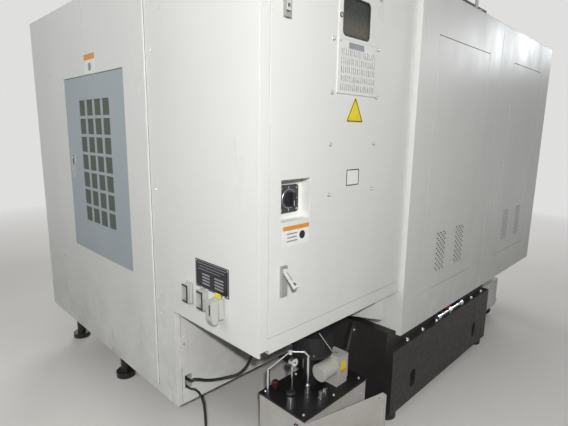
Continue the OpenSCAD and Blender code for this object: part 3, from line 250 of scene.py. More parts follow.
def cast_paint(name, color):
    """Thick dark paint over a sand casting: coarse skin, chipped edges, dust on top."""
    n = Nodes(name)
    skin = n.noise(42.0, 8.0, 0.62)
    tone = n.mix(n.span(n.noise(5.0, 5.0), 0.35, 0.7), color, darker(color, 0.7))
    dust = n.math("MULTIPLY", n.span(n.noise(9.0, 7.0, 0.7), 0.5, 0.75), 0.16)
    tone = n.mix(dust, tone, srgb(92, 84, 78))
    chips = n.math("MULTIPLY", n.worn(0.003), n.span(n.noise(60.0, 4.0), 0.52, 0.6))
    n.color(n.mix(n.math("MULTIPLY", chips, 0.4), tone, srgb(110, 106, 102)))
    n.put("Roughness", n.span(skin, 0.3, 0.7, 0.42, 0.68))
    n.put("Normal", n.bump(skin, 0.0006, n.edges(0.004)))
    return n.material


def machined(name, color, rough=0.26, along=(900.0, 900.0, 9.0), depth=0.000012):
    """Ground or turned steel with fine tool marks and light stains."""
    n = Nodes(name)
    marks = n.noise(1.0, 4.0, 0.7, n.scaled(*along))
    stain = n.span(n.noise(7.0, 5.0, 0.6), 0.5, 0.72)
    n.color(n.mix(n.math("MULTIPLY", stain, 0.35), color, darker(color, 0.62)))
    n.put("Metallic", 1.0)
    n.put("Roughness", n.span(marks, 0.25, 0.75, rough - 0.08, rough + 0.14))
    n.put("Normal", n.bump(marks, depth, n.edges(0.0008)))
    return n.material


def cooler_paint():
    """White paint, greyer on the hoods as painted shade, with the fan guard and hub dark inside the window.
    """
    n = Nodes(painted("cooler_paint", WHITE))
    inside = n.math("MULTIPLY", n.along("X", *OPENING_X), n.along("Z", *OPENING_Z))
    held = n.shader.inputs["Base Color"].links[0].from_socket
    # Painted shade: the hoods that stand out of the face are mixed towards grey.
    hoods = n.along("Y", COOLER_Y + 0.0012, COOLER_Y + 0.02, 0.001)
    face = n.mix(n.math("MULTIPLY", hoods, 0.8), held, srgb(150, 151, 147))
    n.color(n.mix(inside, face, srgb(64, 66, 61)))
    return n.material


def moulded(name, color, rough=0.45, grain=700.0, depth=0.00004):
    """Moulded plastic or rubber with a fine eroded texture."""
    n = Nodes(name)
    skin = n.noise(grain, 3.0, 0.6)
    tone = n.mix(n.span(n.noise(14.0, 4.0), 0.4, 0.75), color, darker(color, 0.8))
    scuff = n.math("MULTIPLY", n.worn(0.0012), n.span(n.noise(90.0, 3.0), 0.45, 0.6))
    lighter = tuple(min(1.0, c * 1.6 + 0.03) for c in color[:3]) + (1.0,)
    n.color(n.mix(n.math("MULTIPLY", scuff, 0.3), tone, lighter))
    n.put("Roughness", n.span(skin, 0.3, 0.7, rough - 0.06, rough + 0.1))
    n.put("Normal", n.bump(skin, depth, n.edges(0.0008)))
    return n.material


def printed(name, color):
    """Printed film or anodised label: even colour, slight wear and fingermarks."""
    n = Nodes(name)
    n.color(n.mix(n.span(n.noise(30.0, 5.0), 0.45, 0.8), color, darker(color, 0.86)))
    n.put("Roughness", n.span(n.noise(18.0, 5.0), 0.3, 0.7, 0.32, 0.54))
    n.put("Normal", n.bump(n.noise(900.0, 2.0), 0.000008))
    return n.material


def filter_mat():
    n = Nodes("filter_weave")
    weave = n.cells(260.0, n.scaled(1.0, 1.0, 0.8))
    fuzz = n.noise(120.0, 6.0, 0.7)
    tone = n.mix(n.span(weave, 0.1, 0.6), srgb(44, 48, 44), srgb(112, 116, 106))
    n.color(n.mix(n.span(fuzz, 0.35, 0.75), tone, srgb(78, 84, 78)))
    n.put("Roughness", 0.92)
    n.put("Normal", n.bump(n.math("ADD", weave, fuzz), 0.0018))
    return n.material


def window_glass():
    n = Nodes("window_glass")
    n.color(srgb(214, 226, 228))
    n.put("Transmission Weight", 0.96)
    n.put("IOR", 1.5)
    n.put("Roughness", n.span(n.noise(6.0, 5.0, 0.6), 0.45, 0.8, 0.02, 0.09))
    return n.material


def guard_cloth():
    """Fine filter cloth, thin enough to show the guard behind it, with painted shade darkening its upper
    half.
    """
    n = Nodes("guard_cloth")
    weave = n.span(n.cells(300.0), 0.2, 0.5, 0.0, 0.25)
    # Painted shade: the cloth is darker above about 2 m than below it.
    shade = n.mix(n.span(n.axis("Z"), 1.97, 2.03), srgb(122, 119, 108), srgb(76, 79, 75))
    n.color(n.mix(weave, shade, srgb(40, 40, 38)))
    n.put("Roughness", 0.7)
    n.put("Alpha", 0.62)
    return n.material


def screen_glass(name, tone, glow):
    n = Nodes(name)
    n.color(n.mix(n.span(n.noise(10.0, 4.0), 0.4, 0.8), tone, darker(tone, 0.8)))
    n.put("Roughness", n.span(n.noise(25.0, 4.0), 0.3, 0.7, 0.08, 0.2))
    n.put("Coat Weight", 0.6)
    # Emission: on the pendant's screen this is painted glow, on the signal lamp's lenses the lamps' own
    # light.
    n.put("Emission Color", glow)
    n.put("Emission Strength", 0.15)
    return n.material


WHITE = srgb(229, 229, 225)

# Opening of the cooling unit, in metres
OPENING_X = (EX - 0.6185, EX - 0.4255)
OPENING_Z = (1.936, 2.2)

# Perforated fields of the service panels: reach along the rear wall from the corner, and heights
FIELDS = ((1348, 1446), (1602, 1700), (2444, 2542), (2729, 2827))
FIELD_Z = (785, 1007)
# Service panels: width and middle along the rear wall
SERVICE_PANELS = ((686, 1524), (640, 2640))
# Stretch beside the vent hatch's hinge that gets no dark strip of painted shade
HINGE_SIDE = 16

# Middle of the main switch on the cabinet
SWITCH = (184, 1317)
# First window of the vent hatch, and the steps to the next
VENT = (-598.5, 1074)
VENT_STEPS = (-106, 101)
# Axis of the hydraulic pump and middle of the gauge
PUMP = (-520, 395)
GAUGE = (384, 505)

FINISH = {
    "white_paint": painted("white_paint", WHITE),
    "inner_paint": painted("inner_paint", WHITE, dust=0.0),
    # Painted shade: a darker copy of the white paint for the low hydraulic tank and skirt.
    "low_shaded_paint": painted("low_shaded_paint", srgb(196, 193, 187), rough=0.4),
    "hatch_paint": painted("hatch_paint", srgb(166, 175, 180), rough=0.42, dust=0.15),
    "cooler_paint": cooler_paint(),
    "casting": cast_paint("cast_iron_paint", srgb(40, 37, 37)),
    "black_paint": thick_paint("black_paint", srgb(26, 25, 26), 0.06, 0.0001),
    "housing": thick_paint("housing_paint", srgb(188, 189, 184)),
    "valve_paint": thick_paint("valve_paint", srgb(184, 181, 174)),
    "steel": machined("ground_steel", srgb(176, 177, 178)),
    "table_steel": machined("table_steel", srgb(168, 168, 166), 0.3, (14.0, 1100.0, 1100.0)),
    "turned_steel": machined("turned_steel", srgb(186, 187, 189), 0.2, (60.0, 60.0, 1400.0)),
    "motor": thick_paint("motor_black", srgb(10, 10, 12), 0.03, 0.0001, 0.46),
    "filter": filter_mat(),
    "grey_metal": painted("grey_metal", srgb(160, 161, 156), rough=0.46, fold=0.0012, dust=0.1, peel=0.00006),
    # Painted reflection: the levers' light grey is their metal's colour with its bright reflection painted
    # in.
    "silver": painted("silver_painted_shine", srgb(206, 207, 205), rough=0.3, fold=0.001, dust=0.0, peel=0.00003),
    "glass": window_glass(),
    "black_plastic": moulded("black_plastic", srgb(34, 34, 36), 0.4),
    "dark_plate": moulded("dark_plate", srgb(58, 60, 63), 0.4),
    "rubber": moulded("rubber", srgb(28, 28, 28), 0.62, 420.0, 0.0001),
    "grey_plastic": moulded("grey_plastic", srgb(176, 178, 174), 0.44),
    "red_plastic": moulded("red_plastic", srgb(196, 24, 22), 0.3),
    "maroon": moulded("maroon_cap", srgb(62, 18, 20), 0.4),
    "chrome": machined("chrome", srgb(214, 216, 218), 0.12, (40.0, 40.0, 40.0), 0.000004),
    "zinc": machined("zinc_screw", srgb(196, 197, 195), 0.28, (300.0, 300.0, 300.0)),
    "orange": printed("orange_print", srgb(222, 150, 58)),
    "yellow": printed("yellow_print", srgb(236, 214, 40)),
    "white_print": printed("white_print", srgb(240, 240, 236)),
    "dark_print": printed("dark_print", srgb(20, 20, 24)),
    "grey_print": printed("grey_print", srgb(150, 152, 158)),
    "green_print": printed("green_print", srgb(52, 132, 84)),
    "blue_print": printed("blue_print", srgb(54, 92, 150)),
    "guard": guard_cloth(),
    # Painted glow: the pendant screen shines faintly with no lamp behind it.
    "screen": screen_glass("screen_glass", srgb(34, 44, 58), (0.12, 0.2, 0.32, 1.0)),
    "lamp_red": screen_glass("lamp_red", srgb(176, 40, 34), (0.5, 0.03, 0.02, 1.0)),
    "lamp_amber": screen_glass("lamp_amber", srgb(206, 138, 38), (0.5, 0.2, 0.02, 1.0)),
    "lamp_green": screen_glass("lamp_green", srgb(52, 142, 84), (0.03, 0.4, 0.1, 1.0)),
}

NODE_FINISH = {
    "white_paint": "enclosure_frame right_end_skin right_end_cover far_end_skin rear_panels service_panels "
    "end_rear_wall roof_panels front_panels left_door right_door cabinet_shell cabinet_door "
    "coolant_tank pendant_arm",
    # Hydraulic tank and skirt get the white paint darkened as painted shade.
    "low_shaded_paint": "hydraulic_tank skirt_panel",
    "cooler_paint": "cooling_unit",
    "black_paint": "levelling_pads",
    "housing": "connector_housings locking_levers",
    "valve_paint": "hydraulic_valves",
    "inner_paint": "splash_sheets spindle_head",
    "hatch_paint": "vent_hatch",
    "casting": "base_casting column_casting saddle magazine_rail magazine_carriage",
    # Levers: light grey, with their metal's reflection painted into the colour.
    "silver": "upper_lever lower_lever",
    "steel": "guide_rails way_cover_middle way_cover_moving hatch_latch",
    "table_steel": "work_table",
    "turned_steel": "ball_screw_x ball_screw_y ball_screw_z spindle_shaft tool_disc tool_holders",
    "motor": "axis_motors pump_motor",
    "filter": "hatch_filter",
    "grey_metal": "drive_rack handle_plates",
    "grey_plastic": "signal_lamp pendant",
    "glass": "left_window right_window",
    "black_plastic": "cooling_fan switch_knob feed_knob",
    "dark_plate": "switch_plate",
    "rubber": "caster_wheels power_cables",
    "red_plastic": "emergency_stop",
    "chrome": "pipes",
}


def dress_nodes():
    for finish, names in NODE_FINISH.items():
        for name in names.split():
            mesh = nodes[name].data
            mesh.materials.clear()
            mesh.materials.append(FINISH[finish])


dress_nodes()


# Shapes, in millimetres, drawn on the XY plane and raised along +Z


def rounded(w, h, r, steps=4):
    """Outline of a rectangle about the origin with rounded corners."""
    r = min(r, w / 2, h / 2)
    points = []
    for quarter, (sx, sy) in enumerate(((1, 1), (-1, 1), (-1, -1), (1, -1))):
        for k in range(steps + 1):
            a = math.radians(90 * quarter + 90 * k / steps)
            points.append((sx * (w / 2 - r) + r * math.cos(a), sy * (h / 2 - r) + r * math.sin(a)))
    return points


def circle(d, steps=32):
    turn = [math.tau * k / steps for k in range(steps)]
    return [(d / 2 * math.cos(a), d / 2 * math.sin(a)) for a in turn]


# Least cosine that a corner is mitred with
SHARPEST = 0.35


def shrunk(outline, d):
    """The outline moved inwards by d."""
    count, made = len(outline), []
    for i in range(count):
        p, q, s = (Vector(outline[(i + k) % count]) for k in (-1, 0, 1))
        a, b = (q - p), (s - q)
        if a.length < 1e-6 or b.length < 1e-6:
            a = b = s - p
        na, nb = Vector((-a.y, a.x)).normalized(), Vector((-b.y, b.x)).normalized()
        n = (na + nb).normalized()
        made.append(tuple(q + n * d / max(SHARPEST, n.dot(na))))
    return made


def lofted(levels, capped=(True, True)):
    """Solid through outlines of the same number of points, each given with its height."""
    count = len(levels[0][0])
    verts = [(x, y, z) for outline, z in levels for x, y in outline]
    faces = []
    for i in range(len(levels) - 1):
        for k in range(count):
            a, b = i * count + k, i * count + (k + 1) % count
            faces.append((a, b, b + count, a + count))
    if capped[0]:
        faces.append(tuple(range(count - 1, -1, -1)))
    if capped[1]:
        faces.append(tuple(range(len(verts) - count, len(verts))))
    return verts, faces


def plate(outline, t, edge=0.4, z=0.0):
    """Flat plate with a chamfered rim."""
    edge = min(edge, t * 0.6)
    return lofted([(outline, z), (outline, z + t - edge), (shrunk(outline, edge), z + t)])


def frame_ring(outer, inner, t, edge=0.4, z=0.0):
    """Flat ring between two outlines of the same number of points."""
    loops = [(outer, z), (outer, z + t - edge), (shrunk(outer, edge), z + t),
             (shrunk(inner, -edge), z + t), (inner, z + t - edge), (inner, z)]
    verts, faces = lofted(loops, (False, False))
    count = len(outer)
    last = len(verts) - count
    faces += [(last + k, last + (k + 1) % count, (k + 1) % count, k) for k in range(count)]
    return verts, faces


def turned(profile, steps=32):
    """Body of revolution about Z through (radius, height) pairs."""
    return lofted([(circle(2 * max(r, 0.01), steps), z) for r, z in profile])


def button_screw(d):
    """Button head with a round recess."""
    h = d * 0.5
    dome = [(circle(d * s, 18), h * k) for s, k in ((1, 0), (1, 0.25), (0.86, 0.7), (0.6, 1.0))]
    recess = [(circle(d * 0.48, 18), h), (circle(d * 0.46, 18), h * 0.4)]
    return lofted(dome + recess)


def hex_bolt(d, h):
    return lofted([(circle(d, 6), 0), (circle(d, 6), h * 0.85), (circle(d * 0.88, 6), h)])


def swept(points, radius, steps=12):
    """Tube of constant radius along a polyline, closed at both ends."""
    points = [Vector(p) for p in points]
    verts, normal = [], None
    for i, p in enumerate(points):
        heading = (points[min(i + 1, len(points) - 1)] - points[max(i - 1, 0)]).normalized()
        if normal is None:
            normal = heading.orthogonal().normalized()
        normal = (normal - heading * normal.dot(heading)).normalized()
        side = heading.cross(normal)
        for k in range(steps):
            a = math.tau * k / steps
            verts.append(tuple(p + radius * (math.cos(a) * normal + math.sin(a) * side)))
    faces = [tuple(range(steps - 1, -1, -1)), tuple(range(len(verts) - steps, len(verts)))]
    for i in range(len(points) - 1):
        for k in range(steps):
            a, b = i * steps + k, i * steps + (k + 1) % steps
            faces.append((a, b, b + steps, a + steps))
    return verts, faces


def moved(outline, x, y):
    return [(px + x, py + y) for px, py in outline]


def spin(degrees, axis="Z"):
    return Matrix.Rotation(math.radians(degrees), 4, axis)


def shift(x, y=0.0, z=0.0):
    """Move along a place's own axes."""
    return Matrix.Translation((x * MM, y * MM, z * MM))


class Wall:
    """A flat face of the machine. Places on it are given in millimetres: along, up and out."""

    def __init__(self, origin, along, out):
        self.origin, self.along, self.out = Vector(origin), Vector(along), Vector(out)

    def reach(self, point):
        """Distance of a point along the wall."""
        return (Vector(point) - self.origin).dot(self.along) / MM

    def at(self, u, z, w=0.0, turn=0.0):
        place = Matrix((self.along, Vector((0, 0, 1)), self.out)).transposed().to_4x4()
        place.translation = self.origin + self.along * u * MM + Vector((0, 0, z * MM)) + self.out * w * MM
        return place @ spin(turn)

    def seen(self, name):
        """Width and height of a node's box seen against the wall, and its middle along and up."""
        low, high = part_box(name)
        a, b = self.reach(low), self.reach(high)
        return abs(b - a), (high.z - low.z) / MM, (a + b) / 2, (low.z + high.z) / 2 / MM


def standing(x, y, z):
    """Upright place at a corner point, with +Z up."""
    return Matrix.Translation(corner(x, y, z))


def end_face(x):
    """Face of the right-hand end: u runs from the rear corner, and is less than 0 towards the front."""
    return Wall((x, BY, 0), (0, 1, 0), (1, 0, 0))


def rear_face(y):
    """Face that looks to the rear: u runs from the corner towards the far end."""
    return Wall((EX, y, 0), (-1, 0, 0), (0, 1, 0))


def front_face(x, y):
    """Face that looks to the front: u runs along +X from x."""
    return Wall((x, y, 0), (1, 0, 0), (0, -1, 0))


END, END_COVER, HATCH_FACE = (end_face(x) for x in (EX, COVER_X, HATCH_X))
CABINET, COOLER, REAR, END_REAR = (rear_face(y) for y in (CABINET_Y, COOLER_Y, RY, BY))
FRONT = front_face(EX, FY)
FAR = Wall((FX, BY, 0), (0, -1, 0), (-1, 0, 0))

# Edges that turn by more than this many degrees stay sharp
SHARP = 32


class Piece:
    """Shapes collected into one mesh that rides on a body."""

    def __init__(self, name, body, slot, *finishes):
        self.name, self.body, self.slot = name, body, slot
        self.finishes = finishes
        self.mesh = bmesh.new()

    def add(self, shape, place, finish=0):
        verts, faces = shape
        made = [self.mesh.verts.new(place @ (Vector(v) * MM)) for v in verts]
        for face in faces:
            self.mesh.faces.new([made[i] for i in face]).material_index = finish

    def done(self):
        bmesh.ops.recalc_face_normals(self.mesh, faces=self.mesh.faces)
        data = bpy.data.meshes.new(self.name)
        self.mesh.to_mesh(data)
        self.mesh.free()
        for finish in self.finishes:
            data.materials.append(FINISH[finish])
        data.polygons.foreach_set("use_smooth", [True] * len(data.polygons))
        data.set_sharp_from_angle(angle=math.radians(SHARP))
        made = bpy.data.objects.new(self.name, data)
        scene.collection.objects.link(made)
        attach(made, self.body)
        return made


# Signs and plates: plain fields, bars and simple shapes

# Thickness, chamfer and height of a field printed on a label
PRINT = (0.3, 0.1, 0.5)


def add_label(piece, wall, u, z, w, h, ground=0):
    piece.add(plate(rounded(w, h, min(3.0, h / 6)), 0.5, 0.2), wall.at(u, z), ground)


def end_sign():
    """White plate with an orange band over the vent hatch."""
    sign = Piece("end_sign", "frame", "grey_metal", "white_print", "orange", "grey_print")
    u = -767
    add_label(sign, END_COVER, u, 1908, 146, 105)
    sign.add(plate(rounded(140, 30, 2), *PRINT), END_COVER.at(u, 1942), 1)
    sign.add(plate(rounded(44, 44, 22), *PRINT), END_COVER.at(u, 1891), 2)
    sign.done()


def triangle(side, r):
    """Equilateral triangle with rounded corners, standing on its side."""
    radius = side / math.sqrt(3) - 2 * r
    points = []
    for corner_angle in (90, 210, 330):
        cx, cy = (radius * f(math.radians(corner_angle)) for f in (math.cos, math.sin))
        for k in range(5):
            a = math.radians(corner_angle - 60 + 30 * k)
            points.append((cx + r * math.cos(a), cy + r * math.sin(a)))
    return points


def cabinet_signs():
    """Plain yellow triangle, bordered plate, switch label and the cooling unit's blank plate."""
    sign = Piece("cabinet_signs", "cabinet_door", "grey_metal", "yellow", "dark_print", "white_print",
                 "orange", "grey_print")
    warning, plain = CABINET.at(530, 1642), (533, 1379)
    sign.add(plate(triangle(122, 5), 0.5, 0.2), warning)
    sign.add(frame_ring(triangle(112, 4), triangle(98, 3), *PRINT), warning, 1)
    add_label(sign, CABINET, *plain, 93, 73, ground=2)
    sign.add(frame_ring(rounded(89, 69, 2), rounded(80, 60, 2), *PRINT), CABINET.at(*plain), 1)
    add_label(sign, CABINET, 188, 1184, 143, 77, ground=2)
    sign.add(plate(rounded(143, 17, 2), *PRINT), CABINET.at(188, 1214), 3)
    sign.add(plate(circle(32), *PRINT), CABINET.at(222, 1180), 1)
    for k, w in enumerate((58, 50, 58)):
        sign.add(plate(rounded(w, 5, 1), 0.2, 0.05, 0.5), CABINET.at(166, 1192 - 14 * k), 4)
    sign.add(plate(rounded(103, 23, 1), 0.6, 0.2), COOLER.at(517.5, 1900.5), 4)
    sign.done()


def type_plate():
    """Black data plate on the cabinet's side with blank light fields and four rivets."""
    tag = Piece("type_plate", "frame", "grey_metal", "dark_print", "grey_print", "zinc")
    u0, z0 = 296, 985
    tag.add(plate(rounded(225, 120, 4), 1.0, 0.3), END.at(u0, z0))
    tag.add(frame_ring(rounded(217, 112, 3), rounded(213, 108, 3), 0.2, 0.05, 1.0), END.at(u0, z0), 1)
    for k in range(4):
        for u, w in ((-38, 52), (49, 58)):
            tag.add(plate(rounded(w, 7, 1), 0.2, 0.05, 1.0), END.at(u0 + u, z0 + 2 - 13 * k), 1)
    for u, w, z in ((0, 190, 45), (0, 170, 33), (-16, 150, 21)):
        tag.add(plate(rounded(w, 2.4, 1), 0.2, 0.05, 1.0), END.at(u0 + u, z0 + z), 1)
    rivet = turned([(3.4, 0), (3.4, 1.6), (2.0, 2.6), (0, 2.8)], 14)
    for u in (-105, 105):
        for z in (-52, 52):
            tag.add(rivet, END.at(u0 + u, z0 + z), 2)
    tag.done()


# Fasteners


def cabinet_screws():
    """Screws with washers on the cabinet door, small ones on the cooling unit."""
    screws = Piece("cabinet_screws", "cabinet_door", "steel", "zinc")
    for u in (376, 680):
        for z in (2111, 1913, 1716, 1518, 1318):
            screws.add(turned([(9, 0), (9, 0.8), (6, 1.0), (0, 1.0)], 20), CABINET.at(u, z))
            screws.add(button_screw(13), CABINET.at(u, z, 0.6))
    for u, z in ((412, 2116), (655, 2116), (412, 1912), (655, 1906)):
        screws.add(button_screw(8), COOLER.at(u, z))
    screws.done()


def skin_screws():
    """Button screws along the panels' edges."""
    screws = Piece("skin_screws", "frame", "steel", "zinc")
    screws.add(button_screw(12), END_REAR.at(40, 573, 3))
    for z in (700, 1300, 1900):
        for u in (-120, -1440):
            screws.add(button_screw(10), END.at(u, z))
            screws.add(button_screw(10), FAR.at(-u, z, -3.4))
    for u in (80, 560, 1040, 2020, 2500, 3000):
        screws.add(button_screw(12), FRONT.at(-u, 300))
    screws.done()


def base_bolts():
    """Hexagon bolts with washers along the base's ledge."""
    bolts = Piece("base_bolts", "frame", "steel", "zinc")
    y = (RY - BY) / MM - 24
    for x in range(-2200, -1000, 180):
        bolts.add(turned([(13, 0), (13, 2), (0, 2)], 20), standing(x, y, 425))
        bolts.add(hex_bolt(19, 11), standing(x, y, 427))
    bolts.done()


def dark_ring(w, h, outer, inner, t):
    """Strip round an opening of w by h, used for the cabinet door's seal and for painted shade in the panels'
    seams.
    """
    return frame_ring(rounded(w + outer, h + outer, 1, 1), rounded(w + inner, h + inner, 1, 1), t, 0.3)


def seam_shade_strips():
    """Dark rubber strips in the gaps round the service panels, the vent hatch and the end cover: painted
    shade in the seams.
    """
    dark_strip = Piece("seam_shade_strips", "frame", "rubber", "rubber")
    h, z = REAR.seen("service_panels")[1::2]
    # Painted shade: each dark strip sits in a seam where only shade falls.
    for w, u in SERVICE_PANELS:
        dark_strip.add(dark_ring(w, h, 5.2, 0.8, 1.6), REAR.at(u, z, -4))
    w, h, u, z = HATCH_FACE.seen("vent_hatch")
    for edge in (z + h / 2 + 1.5, z - h / 2 - 1.5):
        strip = plate(rounded(w - HINGE_SIDE, 2.2, 0.5, 1), 1.6, 0.3)
        dark_strip.add(strip, HATCH_FACE.at(u - HINGE_SIDE / 2, edge, -4))
    dark_strip.add(plate(rounded(2.2, h + 5, 0.5, 1), 1.6, 0.3), HATCH_FACE.at(u - w / 2 - 1.5, z, -4))
    w, h, u, z = END.seen("right_end_cover")
    dark_strip.add(dark_ring(w, h, 4, 0.6, 1.0), END.at(u, z))
    dark_strip.done()


def panel_filters():
    """Dark filter sheet behind each perforated field of the rear service panels."""
    sheet = Piece("panel_filters", "frame", "filter", "dark_print")
    middle_z = sum(FIELD_Z) / 2
    for start, end in FIELDS:
        sheet.add(plate(rounded(128, 246, 4), 2.0, 0.4, -9), REAR.at((start + end) / 2, middle_z))
    sheet.done()


# Cabinet door: switch, handles, fan window


def main_switch():
    """Bright bezel, position marks, corner screws and the pointer's white line."""
    u, z = SWITCH
    low = rear_face(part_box("switch_plate")[0].y + 0.008)
    marks = Piece("switch_marks", "cabinet_door", "steel", "zinc", "white_print")
    marks.add(frame_ring(circle(74, 48), circle(67, 48), 3, 0.8), low.at(u, z))
    for su in (-41, 41):
        for sz in (-41, 41):
            marks.add(button_screw(9), low.at(u + su, z + sz))
    for a in (0, 90, 180, 270):
        marks.add(plate(rounded(3, 7, 1), 0.3, 0.1), low.at(u, z, 0, a) @ shift(0, 43), 1)
    marks.done()
    top = rear_face(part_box("switch_knob")[1].y)
    pointer = Piece("switch_pointer", "knob", "grey_plastic", "white_print")
    pointer.add(plate(rounded(2.4, 20, 1), 0.3, 0.1), top.at(u, z - 14, -0.1))
    pointer.done()


def handle_details():
    """Key barrel near the tip of each lever, and a bright inlay along it."""
    for name, pin_z, out in (("lever_lower", 1063, 49), ("lever_upper", 2043, 0)):
        pin = Matrix.Translation((EX - 119 * MM, CABINET_Y + 8 * MM, pin_z * MM))
        face = pin @ spin(out, "X") @ shift(0, 4.8) @ spin(-90, "X")
        lock = Piece(name + "_lock", name, "black_plastic", "black_plastic", "zinc")
        tip = face @ shift(0, 68)
        lock.add(frame_ring(circle(15, 28), circle(11.6, 28), 1.0, 0.3), tip, 1)
        lock.add(plate(circle(11.4, 28), 0.7, 0.2), tip)
        lock.add(plate(rounded(1.6, 7, 0.6), 0.3, 0.05, 0.7), tip, 1)
        lock.add(plate(rounded(9, 40, 4), 0.5, 0.3), face @ shift(0, 34), 1)
        lock.done()


def fan_window():
    """Bezel, dark frame with round corners, filter cloth, quarter-turn lock, small label, louvre slits."""
    trim = Piece("fan_window", "cabinet_door", "white_paint", "inner_paint", "black_plastic", "guard", "zinc",
                 "yellow", "dark_print")
    middle, lock = COOLER.at(512, 2005), COOLER.at(411.5, 2002, 0.8)
    hole = rounded(179, 146, 20, 6)
    trim.add(frame_ring(moved(rounded(256, 226, 4, 6), 21.5, 27), hole, 0.9, 0.3), middle)
    trim.add(frame_ring(rounded(181, 148, 21, 6), rounded(169, 136, 15, 6), 1.9, 0.6), middle, 1)
    trim.add(plate(rounded(186, 186, 4, 6), 0.4, 0.1), COOLER.at(522, 2032, -3.6), 2)
    trim.add(turned([(10, 0), (10, 2.2), (8.6, 3.0), (7.2, 2.2), (7.2, 1.2)], 24), lock, 1)
    trim.add(turned([(7.1, 0), (7.1, 1.9), (6.2, 2.3), (0, 2.3)], 24), lock, 3)
    trim.add(plate(rounded(3, 18, 1), 0.4, 0.1), COOLER.at(614, 1997, 0.9), 4)
    slit = plate(rounded(3.4, 23, 1), 0.2, 0.05)
    for column in range(9):
        for row in range(5):
            trim.add(slit, COOLER.at(635.5 - 26.5 * column, 1742 + 33 * row), 5)
    trim.done()


def cabinet_gasket():
    """Dark sealing strip deep in the gap round the cabinet door."""
    w, h, u, z = CABINET.seen("cabinet_door")
    dark_strip = Piece("cabinet_gasket", "frame", "rubber", "rubber")
    dark_strip.add(dark_ring(w, h, 4.6, 1.4, 2), CABINET.at(u, z, -17))
    dark_strip.done()


# Vent hatch


def hatch_details():
    """Folded lip round every vent window and the flush latch's bright rim."""
    trim = Piece("hatch_lips", "hatch", "grey_metal", "hatch_paint", "zinc")
    lip = frame_ring(rounded(89, 90, 2, 2), rounded(83, 84, 1, 2), 1.2, 0.5)
    for i in range(4):
        for j in range(7):
            trim.add(lip, HATCH_FACE.at(VENT[0] + VENT_STEPS[0] * i, VENT[1] + VENT_STEPS[1] * j))
    trim.add(frame_ring(rounded(58, 140, 8), rounded(48, 130, 5), 1.6, 0.6), HATCH_FACE.at(-1105, 1344), 1)
    trim.done()
    latch = Piece("latch_details", "latch", "steel", "zinc", "dark_print")
    latch.add(plate(rounded(16, 40, 3), 0.6, 0.2, 3.2), HATCH_FACE.at(-1105, 1370), 1)
    latch.add(turned([(7, 0), (7, 1.4), (5.5, 2.0), (0, 2.0)], 24), HATCH_FACE.at(-1105, 1318, 3))
    latch.done()


# Connectors on the cabinet's side


def connector_details():
    """Lugs, screws, pivots, contact pins and black bails of the connectors, and a plain yellow label."""
    trim = Piece("connector_details", "frame", "grey_metal", "housing", "zinc", "yellow", "black_plastic")
    lug, screw = plate(rounded(13, 13, 4), 3.2, 0.6), button_screw(7)
    pivot = turned([(4.4, 0), (4.4, 4.2), (3.2, 5.4), (0, 5.6)], 16)
    pin = turned([(1.5, 0), (1.5, 5), (0.8, 6), (0, 6.2)], 10)
    for i in range(3):
        u = 135 + 110 * i
        for su in (-19, 19):
            for z in (840, 923):
                trim.add(lug, END.at(u + su, z))
                trim.add(screw, END.at(u + su, z, 3), 1)
        for z, turn in ((922, 0), (841, 180)):
            trim.add(pivot, standing(14, u, z) @ spin(turn, "X"), 1)
        if i < 2:
            for z in (846.5, 916.5):
                trim.add(plate(rounded(42, 7.5, 2), 2.4, 0.8), END.at(u + 3, z, 28), 3)
            trim.add(plate(rounded(7.5, 77.5, 2), 2.4, 0.8), END.at(u + 20.5, 881.5, 28), 3)
            for k in range(6):
                for su in (-5, 5):
                    trim.add(pin, END.at(u + su, 859 + 9 * k, 22), 1)
    trim.add(plate(rounded(34, 19, 3), 3.0, 0.8), END.at(366, 935, 22), 2)
    trim.add(plate(rounded(6, 44, 2), 1.6, 0.5), END.at(362, 884, 60), 3)
    trim.done()


# Hydraulic unit


